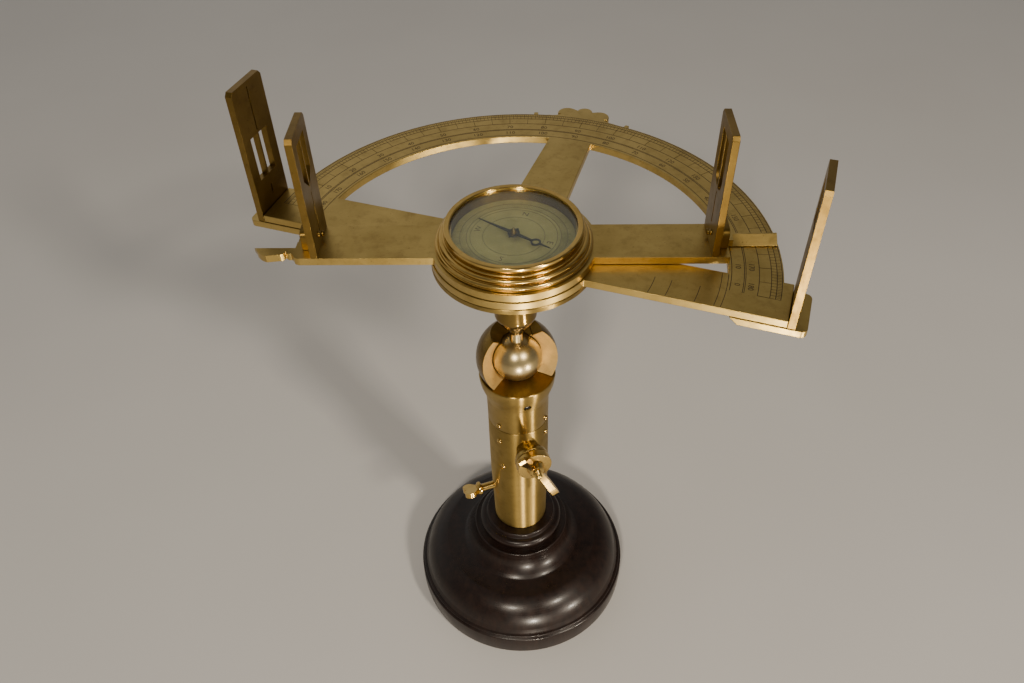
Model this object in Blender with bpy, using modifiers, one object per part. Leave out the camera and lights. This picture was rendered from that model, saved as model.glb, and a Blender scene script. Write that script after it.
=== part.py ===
"""A graphometer on its turned wooden foot: a semicircular surveying instrument.

Two pairs of sights, a fixed pair on the graduated plate and a turning pair on the alidade,
a compass at the centre, and a ball joint on a socket tube that turns on a peg in the foot.
The frame has +Z up and its origin at the centre of the foot's underside.
Lengths are in metres; each body is built about an empty that stands on its joint's axis.
"""
import math

import bmesh
import bpy
from mathutils import Vector

MM = 0.001
GAP = 0.3 * MM
WELD = 0.00001

# Turned foot
FOOT_RADIUS = 67.6 * MM
FOOT_RIM_HEIGHT = 15.0 * MM
FOOT_TOP = 63.5 * MM
PEG_RADIUS = 12.6 * MM
PEG_ROOT = 9.0 * MM
PEG_ROOT_END = 18.0 * MM
PEG_TOP = 108.0 * MM

# Socket tube, its joint line, the ledge in front of the ball, and the ball itself
SOCKET_TURN = math.radians(18.0)
TUBE_RADIUS = 17.2 * MM
TUBE_BORE = 13.0 * MM
TUBE_FOOT = 63.8 * MM
TUBE_JOINT = 157.4 * MM
LEDGE = 192.3 * MM
BALL_CENTRE = 202.9 * MM
BALL_RADIUS = 13.4 * MM
SHELL_RADIUS = 22.0 * MM
RIM_RADIUS = 21.0 * MM
CUP_RADIUS = 15.8 * MM
THROAT = 9.4 * MM
JAW_SEAM = LEDGE + GAP
JAW_HINGE_X = 18.8 * MM
JAW_HINGE_Z = 192.0 * MM
PAD_BORE = 7.0 * MM
PAD_SCREW_HEIGHT = 181.0 * MM

# Clamp and thumb screw on the tube
CLAMP_HEIGHT = 145.0 * MM
STUD_RADIUS = 2.7 * MM
THUMB_RADIUS = 2.4 * MM
THUMB_HEIGHT = 96.0 * MM
THUMB_TURN = math.radians(200.0)

# Head: the graduated plate, its end plates and the centre boss
PLATE_TURN = math.radians(-17.8)
PLATE_TOP = 276.4 * MM
PLATE_THICK = 3.9 * MM
LIMB_OUTER = 125.4 * MM
LIMB_INNER = 100.4 * MM
BOSS_RADIUS = 40.0 * MM
BOSS_BOTTOM = 269.5 * MM
CENTRE_HOLE = 4.3 * MM
ARM_HALF = 12.9 * MM
ARM_FAR = 12.1 * MM
SPOKE_HALF_IN = 13.6 * MM
SPOKE_HALF_OUT = 11.8 * MM
END_PLATE_THICK = 3.6 * MM
END_PLATE_START = 106.0 * MM
END_PLATE_TIP = 138.2 * MM
END_SCREW_X = 114.0 * MM
END_SCREW_Y = 7.5 * MM
SIGHT_SCREW_Y = 6.0 * MM
PEG_REACH = 2.6 * MM
LIMB_PEG_ANGLE = 12.2
FLEURON_ANGLE = 9.6
SPOKE_TURN = 0.8

# Alidade and sights
ALIDADE_THICK = 3.9 * MM
ALIDADE_HALF = 12.8 * MM
ALIDADE_END = 100.0 * MM
TONGUE_END = 124.6 * MM
RING_RADIUS = 39.4 * MM
RING_BORE = 30.4 * MM
SIGHT_THICK = 3.3 * MM
SIGHT_TOP = 343.0 * MM
ALIDADE_SIGHT = 91.5 * MM
FIXED_SIGHT = 129.6 * MM

# Compass
NEEDLE_HEIGHT = 284.7 * MM
NEEDLE_TURN = math.radians(-34.5)
NEEDLE_HALF = 21.0 * MM

ALIDADE_BASE = PLATE_TOP + GAP
ALIDADE_TOP = ALIDADE_BASE + ALIDADE_THICK
PLATE_BOTTOM = PLATE_TOP - PLATE_THICK
END_PLATE_TOP = PLATE_BOTTOM - GAP


def clear_scene():
    for thing in list(bpy.data.objects):
        bpy.data.objects.remove(thing, do_unlink=True)


def collection(name):
    made = bpy.data.collections.new(name)
    bpy.context.scene.collection.children.link(made)
    return made


def material(name, colour, roughness, metallic):
    made = bpy.data.materials.new(name)
    made.use_nodes = True
    shader = made.node_tree.nodes["Principled BSDF"]
    shader.inputs["Base Color"].default_value = (*colour, 1.0)
    shader.inputs["Roughness"].default_value = roughness
    shader.inputs["Metallic"].default_value = metallic
    made.diffuse_color = (*colour, 1.0)
    return made


def empty(name, location, rotation=(0, 0, 0), parent=None):
    """An empty on a joint's axis; the pieces that turn there are parented to it."""
    made = bpy.data.objects.new(name, None)
    made.location = location
    made.rotation_euler = rotation
    made.parent = parent
    GUIDES.objects.link(made)
    return made


def place_object(name, mesh, colour, parent, location=(0, 0, 0), rotation=(0, 0, 0), smooth=True):
    made = bpy.data.objects.new(name, mesh)
    made.data.materials.append(colour)
    made.parent = parent
    made.location = location
    made.rotation_euler = rotation
    PARTS.objects.link(made)
    if smooth:
        mesh.shade_smooth()
        mesh.set_sharp_from_angle(angle=math.radians(35))
    return made


def arc(centre_x, centre_y, radius, start, end, steps):
    """Points along an arc, both ends included; angles in degrees."""
    points = []
    for step in range(steps + 1):
        angle = math.radians(start + (end - start) * step / steps)
        points.append((centre_x + radius * math.cos(angle), centre_y + radius * math.sin(angle)))
    return points


def circle(centre_x, centre_y, radius, steps):
    """A closed ring of points that starts half a step round, clear of the axes."""
    half = 180.0 / steps
    return arc(centre_x, centre_y, radius, half, 360.0 - half, steps - 1)


def turned(name, profile, colour, parent, steps=48, location=(0, 0, 0), rotation=(0, 0, 0)):
    """A turned piece: (radius, height) pairs down the outside, closed on the axis or as a ring."""
    mesh = bpy.data.meshes.new(name)
    form = bmesh.new()
    points = [form.verts.new((radius, 0.0, height)) for radius, height in profile]
    for first, second in zip(points, points[1:]):
        form.edges.new((first, second))
    ring = min(radius for radius, height in profile) > WELD
    if ring:
        form.edges.new((points[-1], points[0]))
    form.to_mesh(mesh)
    form.free()
    made = place_object(name, mesh, colour, parent, location, rotation)
    screw = made.modifiers.new("Turn", "SCREW")
    screw.axis = "Z"
    screw.angle = math.tau
    screw.steps = steps
    screw.render_steps = steps
    screw.use_merge_vertices = True
    screw.merge_threshold = WELD
    screw.use_normal_calculate = False
    screw.use_smooth_shade = True
    return made


def flat(name, outlines, bottom, top, colour, parent, location=(0, 0, 0), rotation=(0, 0, 0)):
    """A flat piece: closed outlines, the holes after the edge, extruded from bottom to top."""
    curve = bpy.data.curves.new(name + "_outline", "CURVE")
    curve.dimensions = "2D"
    curve.fill_mode = "BOTH"
    curve.extrude = (top - bottom) / 2
    for outline in outlines:
        spline = curve.splines.new("POLY")
        spline.points.add(len(outline) - 1)
        for point, (x, y) in zip(spline.points, outline):
            point.co = (x, y, 0.0, 1.0)
        spline.use_cyclic_u = True
    drawn = bpy.data.objects.new(name + "_outline", curve)
    bpy.context.scene.collection.objects.link(drawn)
    bpy.context.view_layer.update()
    mesh = bpy.data.meshes.new_from_object(drawn.evaluated_get(bpy.context.evaluated_depsgraph_get()))
    mesh.name = name
    bpy.data.objects.remove(drawn, do_unlink=True)
    form = bmesh.new()
    form.from_mesh(mesh)
    bmesh.ops.remove_doubles(form, verts=form.verts, dist=WELD)
    bmesh.ops.translate(form, verts=form.verts, vec=(0, 0, (top + bottom) / 2))
    bmesh.ops.recalc_face_normals(form, faces=form.faces)
    form.to_mesh(mesh)
    form.free()
    return place_object(name, mesh, colour, parent, location, rotation, smooth=False)


def block(name, size, colour, parent, location, rotation=(0, 0, 0)):
    mesh = bpy.data.meshes.new(name)
    form = bmesh.new()
    bmesh.ops.create_cube(form, size=1.0)
    bmesh.ops.scale(form, verts=form.verts, vec=size)
    form.to_mesh(mesh)
    form.free()
    return place_object(name, mesh, colour, parent, location, rotation, smooth=False)


def as_cutter(piece):
    """Take a piece out of the model and keep it as a hidden cutter."""
    for owner in list(piece.users_collection):
        owner.objects.unlink(piece)
    CUTTERS.objects.link(piece)
    piece.hide_render = True
    piece.display_type = "WIRE"
    return piece


def combine(piece, other, operation):
    boolean = piece.modifiers.new(operation.title(), "BOOLEAN")
    boolean.operation = operation
    boolean.solver = "EXACT"
    boolean.object = as_cutter(other)


# ---------------------------------------------------------------- foot and peg

def build_foot():
    """The turned foot with its blind socket, and the shouldered peg that the tube turns on."""
    profile = [(0.0, PEG_ROOT_END - GAP), (PEG_ROOT + GAP, PEG_ROOT_END - GAP)]
    profile += [(PEG_ROOT + GAP, FOOT_TOP), (20.0 * MM, FOOT_TOP), (21.6 * MM, FOOT_TOP - 0.9 * MM)]
    profile += [(22.2 * MM, FOOT_TOP - 3.0 * MM)]
    profile += arc(23.2 * MM, 57.0 * MM, 3.0 * MM, 75, -75, 4)
    profile += [(25.0 * MM, 53.4 * MM), (29.6 * MM, 53.0 * MM), (29.9 * MM, 51.6 * MM)]
    profile += arc(47.0 * MM, 51.5 * MM, 16.8 * MM, 190, 238, 3)
    profile += arc(41.6 * MM, 15.2 * MM, 22.8 * MM, 72, 10, 5)
    profile += [(65.0 * MM, 18.6 * MM), (66.2 * MM, 17.6 * MM), (66.6 * MM, 16.2 * MM)]
    profile += [(FOOT_RADIUS, FOOT_RIM_HEIGHT), (FOOT_RADIUS + 0.3 * MM, 8.0 * MM)]
    profile += [(FOOT_RADIUS, 1.5 * MM), (FOOT_RADIUS - 1.4 * MM, 0.0), (0.0, 0.0)]
    turned("wood_base", profile, DARK_WOOD, FOOT, steps=36)
    turned("swivel_peg", [
        (0.0, PEG_TOP), (PEG_RADIUS - 1.5 * MM, PEG_TOP), (PEG_RADIUS, PEG_TOP - 1.5 * MM),
        (PEG_RADIUS, FOOT_TOP + GAP), (PEG_ROOT, FOOT_TOP + GAP), (PEG_ROOT, PEG_ROOT_END),
        (0.0, PEG_ROOT_END),
    ], DARK_WOOD, FOOT, steps=20)


# ---------------------------------------------------------------- socket, jaw and clamp

def radial_bore(piece, tag, height, turn, radius, start, end):
    """A hole through a wall of the socket, from start to end out along one radius."""
    bore = turned("bore_" + tag, [(0.0, end), (radius, end), (radius, start), (0.0, start)],
                  BRASS, SOCKET, 16, (0, 0, height), (math.pi / 2, 0, turn))
    combine(piece, bore, "DIFFERENCE")


def front_cone(tag):
    """The splayed opening in front of the ball: a cone that leans up, above the ledge."""
    front = turned("front_" + tag, [
        (0.0, 26.0 * MM), (39.2 * MM, 26.0 * MM), (11.2 * MM, -2.0 * MM), (0.0, -2.0 * MM),
    ], BRASS, SOCKET, 48, (0, 0, BALL_CENTRE), (math.radians(75), 0, 0))
    below = block("below_" + tag, (120.0 * MM, 120.0 * MM, 60.0 * MM), BRASS, SOCKET,
                  (0, 0, LEDGE - 30.0 * MM))
    combine(front, below, "DIFFERENCE")
    return front


def open_shell(piece, tag):
    """Cut the ball's cup, the funnel round the stem and the splayed front."""
    mesh = bpy.data.meshes.new("cup_" + tag)
    form = bmesh.new()
    bmesh.ops.create_uvsphere(form, u_segments=32, v_segments=16, radius=CUP_RADIUS)
    form.to_mesh(mesh)
    form.free()
    cup = place_object("cup_" + tag, mesh, BRASS, SOCKET, (0, 0, BALL_CENTRE))
    combine(piece, cup, "DIFFERENCE")
    funnel = turned("funnel_" + tag, [
        (0.0, 26.0 * MM), (21.5 * MM, 26.0 * MM), (THROAT, 12.7 * MM), (THROAT - 4.3 * MM, 8.0 * MM),
        (0.0, 8.0 * MM),
    ], BRASS, SOCKET, 48, (0, 0, BALL_CENTRE))
    combine(piece, funnel, "DIFFERENCE")
    combine(piece, front_cone(tag), "DIFFERENCE")


def jaw_side(tag, clearance):
    """The box that parts the loose jaw from the fixed side of the shell."""
    return block("jaw_side_" + tag, (40.0 * MM, 60.0 * MM, 50.0 * MM), BRASS, SOCKET,
                 (THROAT + 20.0 * MM - clearance, -18.0 * MM + clearance,
                  JAW_SEAM + 25.0 * MM - clearance))


def build_socket():
    """Socket tube, upper socket with its fixed cheek, the loose jaw and the pad below the ball."""
    tube = turned("socket_tube", [
        (TUBE_BORE, TUBE_JOINT), (TUBE_RADIUS, TUBE_JOINT), (TUBE_RADIUS + 0.1 * MM, 110.0 * MM),
        (TUBE_RADIUS - 0.7 * MM, TUBE_FOOT + 2.0 * MM), (TUBE_RADIUS - 1.2 * MM, TUBE_FOOT),
        (TUBE_BORE, TUBE_FOOT),
    ], BRASS, SOCKET, steps=32)
    radial_bore(tube, "stud", CLAMP_HEIGHT, 0.0, STUD_RADIUS + GAP, 8.0 * MM, 24.0 * MM)
    radial_bore(tube, "thumb", THUMB_HEIGHT, THUMB_TURN - SOCKET_TURN + math.pi / 2,
                THUMB_RADIUS + GAP, 8.0 * MM, 24.0 * MM)

    crown_start = math.degrees(math.acos(PAD_BORE / SHELL_RADIUS))
    crown_end = math.degrees(math.asin((LEDGE - BALL_CENTRE) / SHELL_RADIUS))
    crown = arc(0.0, BALL_CENTRE, SHELL_RADIUS, crown_start, crown_end, 9)
    head = turned("socket_head", crown + [
        (RIM_RADIUS - 0.4 * MM, LEDGE), (RIM_RADIUS, LEDGE - 1.6 * MM),
        (RIM_RADIUS - 0.8 * MM, LEDGE - 7.0 * MM), (18.6 * MM, 180.2 * MM),
        (TUBE_RADIUS + 0.5 * MM, 175.0 * MM), (TUBE_RADIUS, TUBE_JOINT + GAP),
        (PAD_BORE, TUBE_JOINT + GAP),
    ], BRASS, SOCKET, steps=36)
    open_shell(head, "head")
    combine(head, jaw_side("room", GAP), "DIFFERENCE")
    radial_bore(head, "pad_screw", PAD_SCREW_HEIGHT, 0.0, 1.3 * MM, 5.0 * MM, 24.0 * MM)
    radial_bore(head, "pad_screw_head", PAD_SCREW_HEIGHT, 0.0, 2.0 * MM + GAP, TUBE_RADIUS, 24.0 * MM)

    jaw = turned("ball_jaw", [(0.0, BALL_CENTRE + SHELL_RADIUS)]
                 + arc(0.0, BALL_CENTRE, SHELL_RADIUS, 80, -32, 9)
                 + [(0.0, BALL_CENTRE + SHELL_RADIUS * math.sin(math.radians(-32)))],
                 BRASS, JAW, 36, (-JAW_HINGE_X, 0, -JAW_HINGE_Z))
    open_shell(jaw, "jaw")
    combine(jaw, jaw_side("keep", 0.0), "INTERSECT")

    seat_radius = BALL_RADIUS + GAP
    pad_rise = math.degrees(math.acos((PAD_BORE - 0.4 * MM) / seat_radius))
    turned("ball_pad", arc(0.0, BALL_CENTRE, seat_radius, 270, 360 - pad_rise, 4) + [
        (PAD_BORE - 0.4 * MM, 172.0 * MM), (0.0, 172.0 * MM),
    ], BRASS, SOCKET, steps=20)


def radial_screw(name, height, turn, seat, length, head_radius, colour, parent):
    """A cheese-headed screw lying along a radius, its head standing on the seat."""
    turned(name, [
        (0.0, seat + 1.1 * MM), (0.8 * head_radius, seat + 1.1 * MM), (head_radius, seat + 0.7 * MM),
        (head_radius, seat), (0.5 * head_radius, seat), (0.5 * head_radius, seat - length),
        (0.0, seat - length),
    ], colour, parent, 14, (0, 0, height), (math.pi / 2, 0, turn))


def build_joint_screws():
    """The small screws in the socket's wall: four by the joint line, one lower, one under the ledge."""
    seats = {"joint_screw_left_upper": (161.0, -128.0), "joint_screw_left_lower": (148.0, -128.0),
             "joint_screw_right_upper": (161.0, -25.0), "joint_screw_right_lower": (149.0, -25.0),
             "tube_side_screw": (126.0, -122.0)}
    for name, (height, azimuth) in seats.items():
        turn = math.radians(azimuth) - SOCKET_TURN + math.pi / 2
        owner = bpy.data.objects["socket_head" if height * MM > TUBE_JOINT else "socket_tube"]
        radial_bore(owner, name, height * MM, turn, 1.1 * MM, 14.0 * MM, 24.0 * MM)
        radial_screw(name, height * MM, turn, TUBE_RADIUS + GAP, 2.6 * MM, 1.5 * MM, BRASS, SOCKET)
    radial_screw("pad_screw", PAD_SCREW_HEIGHT, 0.0, TUBE_RADIUS + GAP, 9.5 * MM, 2.0 * MM, STEEL, SOCKET)


def build_clamp():
    """The boss on the tube, and the washer, stud and wing nut that draw the jaw in."""
    boss = turned("clamp_boss", [
        (STUD_RADIUS + GAP, 24.6 * MM), (8.6 * MM, 24.6 * MM), (9.2 * MM, 23.9 * MM),
        (8.8 * MM, 22.0 * MM), (6.0 * MM, 17.5 * MM), (5.6 * MM, 14.0 * MM),
        (STUD_RADIUS + GAP, 14.0 * MM),
    ], BRASS, SOCKET, 18, (0, 0, CLAMP_HEIGHT), (math.pi / 2, 0, 0))
    tube_room = turned("tube_room", [(0.0, 30.0 * MM), (TUBE_RADIUS + 2 * GAP, 30.0 * MM),
                                     (TUBE_RADIUS + 2 * GAP, -30.0 * MM), (0.0, -30.0 * MM)],
                       BRASS, SOCKET, 32, (0, 0, CLAMP_HEIGHT))
    combine(boss, tube_room, "DIFFERENCE")
    turned("clamp_stud", [
        (0.0, 39.4 * MM), (0.8 * STUD_RADIUS, 39.4 * MM), (STUD_RADIUS, 38.6 * MM),
        (STUD_RADIUS, 11.3 * MM), (5.0 * MM, 11.3 * MM), (5.0 * MM, 9.0 * MM), (0.0, 9.0 * MM),
    ], BRASS, SOCKET, 18, (0, 0, CLAMP_HEIGHT), (math.pi / 2, 0, 0))
    turned("clamp_washer", [
        (STUD_RADIUS + GAP, 30.3 * MM), (9.0 * MM, 30.3 * MM), (9.8 * MM, 29.5 * MM),
        (9.8 * MM, 25.7 * MM), (9.3 * MM, 25.2 * MM), (STUD_RADIUS + GAP, 25.2 * MM),
    ], BRIGHT_BRASS, SOCKET, 20, (0, 0, CLAMP_HEIGHT), (math.pi / 2, 0, 0))
    nut = turned("wing_nut", [
        (STUD_RADIUS + GAP, 36.2 * MM), (4.6 * MM, 36.2 * MM), (5.2 * MM, 35.4 * MM),
        (5.8 * MM, 31.6 * MM), (5.6 * MM, 30.7 * MM), (STUD_RADIUS + GAP, 30.7 * MM),
    ], BRIGHT_BRASS, WING, 16)
    for side, tag in ((0.0, "low"), (math.pi, "high")):
        outline = [(4.0, 31.2), (8.0, 31.6), (14.0, 33.6), (19.6, 36.0), (21.6, 38.4), (20.2, 40.4),
                   (16.0, 39.6), (10.0, 37.0), (4.0, 35.6)]
        wing = flat("wing_" + tag, [[(x * MM, y * MM) for x, y in outline]], -1.7 * MM, 1.7 * MM,
                    BRIGHT_BRASS, WING, (0, 0, 0), (math.pi / 2, 0, side))
        combine(nut, wing, "UNION")

    thumb = turned("thumb_screw", [
        (0.0, 28.0 * MM), (3.0 * MM, 28.0 * MM), (4.2 * MM, 26.6 * MM), (4.2 * MM, 25.4 * MM),
        (THUMB_RADIUS, 24.6 * MM), (THUMB_RADIUS, 13.8 * MM), (1.4 * MM, 13.0 * MM), (0.0, 13.0 * MM),
    ], BRIGHT_BRASS, THUMB, 18)
    outline = [(-2.2, 27.4), (2.2, 27.4), (5.4, 29.4), (6.3, 32.4), (5.2, 35.6), (2.4, 36.8),
               (0.0, 35.6), (-2.4, 36.8), (-5.2, 35.6), (-6.3, 32.4), (-5.4, 29.4)]
    grip = flat("thumb_grip", [[(x * MM, y * MM) for x, y in outline]], -1.4 * MM, 1.4 * MM,
                BRIGHT_BRASS, THUMB, (0, 0, 0), (math.pi / 2, 0, math.radians(25)))
    combine(thumb, grip, "UNION")


# ---------------------------------------------------------------- ball and stem

def build_ball():
    """The ball with its stem, made about the ball's centre."""
    neck_angle = math.degrees(math.acos(3.6 * MM / BALL_RADIUS))
    turned("ball_stem", [
        (0.0, 57.0 * MM), (2.4 * MM, 57.0 * MM), (3.0 * MM, 56.4 * MM), (3.0 * MM, 18.8 * MM),
        (3.6 * MM, 18.8 * MM),
    ] + arc(0.0, 0.0, BALL_RADIUS, neck_angle, -90, 11), BRIGHT_BRASS, BALL, steps=28)
    turned("stem_trumpet", [
        (0.0, 61.0 * MM), (4.3 * MM, 61.0 * MM), (4.3 * MM, 66.3 * MM), (14.0 * MM, 66.3 * MM),
        (14.0 * MM, 63.6 * MM), (10.0 * MM, 61.4 * MM), (8.8 * MM, 52.0 * MM), (9.4 * MM, 40.0 * MM),
        (10.8 * MM, 33.4 * MM), (10.9 * MM, 31.2 * MM), (9.8 * MM, 28.8 * MM), (8.4 * MM, 26.5 * MM),
        (6.3 * MM, 23.5 * MM), (4.9 * MM, 21.4 * MM), (4.0 * MM, 19.1 * MM), (3.3 * MM, 19.1 * MM),
        (3.3 * MM, 58.0 * MM),
        (0.0, 58.0 * MM),
    ], BRASS, PLATE, 24, (0, 0, BALL_CENTRE - PLATE_TOP))


# ---------------------------------------------------------------- head

def limb_peg(middle):
    """A small square peg on the limb's outer edge, at this angle in degrees."""
    outer = LIMB_OUTER + PEG_REACH
    corners = [(middle - 0.55, LIMB_OUTER), (middle - 0.5, outer), (middle + 0.5, outer),
               (middle + 0.55, LIMB_OUTER)]
    return [(radius * math.cos(math.radians(angle)), radius * math.sin(math.radians(angle)))
            for angle, radius in corners]


def fleuron():
    """The three lobes at the middle of the limb's outer edge, from right to left."""
    right = arc(18.9 * MM, 132.4 * MM, 8.0 * MM, -90, -140, 4)
    right += arc(9.4 * MM, 129.4 * MM, 5.6 * MM, -20, 118, 6)
    middle = arc(0.0, 132.6 * MM, 4.4 * MM, 10, 170, 6)
    points = right + middle + [(-x, y) for x, y in reversed(right)]
    turn = math.radians(SPOKE_TURN)
    return [(x * math.cos(turn) - y * math.sin(turn), x * math.sin(turn) + y * math.cos(turn))
            for x, y in points]


def plate_outline():
    """The semicircle with the straight arm across its base and the round boss's front edge."""
    edge = math.degrees(math.asin(ARM_HALF / LIMB_OUTER))
    tip = FIXED_SIGHT - GAP
    middle = 90 + SPOKE_TURN
    points = [(tip, -ARM_HALF), (tip, ARM_HALF)]
    points += arc(0, 0, LIMB_OUTER, edge, middle - LIMB_PEG_ANGLE - 1, 28)
    points += limb_peg(middle - LIMB_PEG_ANGLE)
    points += arc(0, 0, LIMB_OUTER, middle - LIMB_PEG_ANGLE + 1, middle - FLEURON_ANGLE, 2)
    points += fleuron()
    points += arc(0, 0, LIMB_OUTER, middle + FLEURON_ANGLE, middle + LIMB_PEG_ANGLE - 1, 2)
    points += limb_peg(middle + LIMB_PEG_ANGLE)
    points += arc(0, 0, LIMB_OUTER, middle + LIMB_PEG_ANGLE + 1, 180 - edge, 28)
    points += [(-tip, ARM_HALF), (-tip, -ARM_HALF)]
    corner = math.degrees(math.asin(ARM_HALF / BOSS_RADIUS))
    points += arc(0, 0, BOSS_RADIUS, 180 + corner, 360 - corner, 24)
    return points


def plate_window(side):
    """One of the two openings between the arm, the spoke and the limb; side is 1 or -1."""
    lean = side * SPOKE_TURN
    start = math.degrees(math.asin(ARM_FAR / LIMB_INNER))
    end = math.degrees(math.acos(SPOKE_HALF_OUT / LIMB_INNER)) + lean
    inner_end = math.degrees(math.acos(SPOKE_HALF_IN / BOSS_RADIUS)) + lean
    inner_start = math.degrees(math.asin(ARM_FAR / BOSS_RADIUS))
    points = arc(0, 0, LIMB_INNER, start, end, 20) + arc(0, 0, BOSS_RADIUS, inner_end, inner_start, 8)
    return [(side * x, y) for x, y in points]


def build_plate():
    """Graduated semicircle, the boss below its centre and the stud that the alidade's hub is on."""
    screw_holes = [circle(x, y, 1.3 * MM, 8) for x in (END_SCREW_X, -END_SCREW_X)
                   for y in (-END_SCREW_Y, END_SCREW_Y)]
    flat("graduated_plate", [plate_outline(), plate_window(1), plate_window(-1),
                             circle(0, 0, CENTRE_HOLE, 16)] + screw_holes,
         PLATE_BOTTOM - PLATE_TOP, 0.0, BRASS, PLATE)
    boss_top = END_PLATE_TOP - PLATE_TOP
    boss_bottom = BOSS_BOTTOM - PLATE_TOP
    turned("centre_boss", [
        (CENTRE_HOLE, boss_top), (BOSS_RADIUS, boss_top), (BOSS_RADIUS, boss_bottom + 0.6 * MM),
        (BOSS_RADIUS - 0.6 * MM, boss_bottom), (CENTRE_HOLE, boss_bottom),
    ], BRASS, PLATE, steps=36)
    stud = CENTRE_HOLE - GAP
    turned("centre_stud", [(0.0, 4.6 * MM), (stud, 4.6 * MM), (stud, -12.0 * MM), (0.0, -12.0 * MM)],
           STEEL, PLATE, steps=16)


def build_end_plates():
    """The plates under the arm's two ends that carry the fixed sights, with their screws."""
    top = END_PLATE_TOP - PLATE_TOP
    half = ARM_HALF + 0.3 * MM
    corner = 3.0 * MM
    sight_x = FIXED_SIGHT + SIGHT_THICK / 2
    for side, tag in ((1, "right"), (-1, "left")):
        outline = [(END_PLATE_START, -half)]
        outline += arc(END_PLATE_TIP - corner, -half + corner, corner, -90, 0, 3)
        outline += arc(END_PLATE_TIP - corner, half - corner, corner, 0, 90, 3)
        outline += [(END_PLATE_START, half)]
        holes = [circle(END_SCREW_X, y, 1.3 * MM, 8) for y in (-END_SCREW_Y, END_SCREW_Y)]
        holes += [circle(sight_x, y, 1.1 * MM, 8) for y in (-SIGHT_SCREW_Y, SIGHT_SCREW_Y)]
        outlines = [[(side * x, y) for x, y in ring] for ring in [outline] + holes]
        flat("end_plate_" + tag, outlines, top - END_PLATE_THICK, top, BRASS, PLATE)
        for index, y in enumerate((-END_SCREW_Y, END_SCREW_Y)):
            under_screw(f"end_plate_screw_{tag}_{index + 1}", side * END_SCREW_X, y, 6.6 * MM, 2.1 * MM)
        for index, y in enumerate((-SIGHT_SCREW_Y, SIGHT_SCREW_Y)):
            under_screw(f"sight_foot_screw_{tag}_{index + 1}", side * sight_x, y, 7.6 * MM, 1.6 * MM)


def under_screw(name, x, y, length, head_radius):
    """A screw driven up from below an end plate."""
    seat = END_PLATE_TOP - PLATE_TOP - END_PLATE_THICK - GAP
    shank = 0.5 * head_radius
    turned(name, [
        (0.0, seat + length), (shank, seat + length), (shank, seat), (head_radius, seat),
        (head_radius, seat - 0.7 * MM), (0.8 * head_radius, seat - 1.0 * MM), (0.0, seat - 1.0 * MM),
    ], STEEL, PLATE, 12, (x, y, 0))


def sight_outline(half, bottom, top, corner):
    """The sight's edge, seen along the arm: a plate with cut upper corners."""
    return [(-half, bottom), (half, bottom), (half, top - corner), (half - corner, top),
            (-half + corner, top), (-half, top - corner)]


def window_half(side, bottom, top):
    """Half of a sighting window beside its narrow central bar."""
    inner, outer, corner, crown = 0.45 * MM, 6.9 * MM, 3.2 * MM, 0.3 * MM
    points = [(inner, bottom - crown), (outer - corner, bottom), (outer, bottom + corner),
              (outer, top - crown), (inner, top)]
    return [(side * x, y) for x, y in points]


def slit(bottom, top):
    """The narrow sighting slit on a sight's centre line."""
    half = 0.45 * MM
    return [(-half, bottom), (half, bottom), (half, top), (-half, top)]


def build_sight(name, side, inner_face, foot, window, slits, holes, parent):
    """One sight: window and slits are heights above the plate's top; holes are screw holes."""
    height = SIGHT_TOP - PLATE_TOP
    outlines = [sight_outline(ARM_HALF - 0.2 * MM, foot, height, 1.8 * MM)]
    outlines += [window_half(1, *window), window_half(-1, *window)]
    outlines += [slit(*span) for span in slits]
    outlines += [circle(y, z, radius, 8) for y, z, radius in holes]
    start = inner_face if side > 0 else -inner_face - SIGHT_THICK
    return flat(name, outlines, start, start + SIGHT_THICK, BRASS, parent, (0, 0, 0),
                (math.pi / 2, 0, math.pi / 2))


def build_fixed_sights():
    foot = END_PLATE_TOP - PLATE_TOP + GAP
    left = build_sight("fixed_sight_left", -1, FIXED_SIGHT, foot, (17.0 * MM, 40.0 * MM),
                       [(41.4 * MM, 64.0 * MM), (5.5 * MM, 15.4 * MM)], [], PLATE)
    right = build_sight("fixed_sight_right", 1, FIXED_SIGHT, foot, (41.0 * MM, 62.0 * MM),
                        [(14.0 * MM, 39.4 * MM)], [], PLATE)
    for piece, side in ((left, -1), (right, 1)):
        for index, y in enumerate((-SIGHT_SCREW_Y, SIGHT_SCREW_Y)):
            x = side * (FIXED_SIGHT + SIGHT_THICK / 2)
            hole = turned(f"{piece.name}_hole_{index}", [
                (0.0, 1.2 * MM), (1.1 * MM, 1.2 * MM), (1.1 * MM, -10.0 * MM), (0.0, -10.0 * MM)],
                BRASS, PLATE, 8, (x, y, 0))
            combine(piece, hole, "DIFFERENCE")


# ---------------------------------------------------------------- alidade

def alidade_outline():
    meet = math.degrees(math.asin(ALIDADE_HALF / RING_RADIUS))
    end, tongue, half = ALIDADE_END, TONGUE_END, ALIDADE_HALF
    points = [(end, -half), (end, 0), (tongue, 0), (tongue, 5.6 * MM), (103.0 * MM, 5.6 * MM),
              (103.0 * MM, half)]
    points += arc(0, 0, RING_RADIUS, meet, 180 - meet, 24)
    points += [(-103.0 * MM, half), (-103.0 * MM, 0), (-tongue, 0), (-123.0 * MM, -5.0 * MM)]
    points += arc(-114.5 * MM, -4.6 * MM, 5.6 * MM, 215, 300, 4)
    points += [(-108.6 * MM, -6.4 * MM), (-106.4 * MM, -6.0 * MM), (-105.0 * MM, -8.0 * MM),
               (-102.8 * MM, -11.2 * MM), (-101.4 * MM, -9.4 * MM), (-end, -half)]
    points += arc(0, 0, RING_RADIUS, 180 + meet, 360 - meet, 24)
    return points


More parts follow.
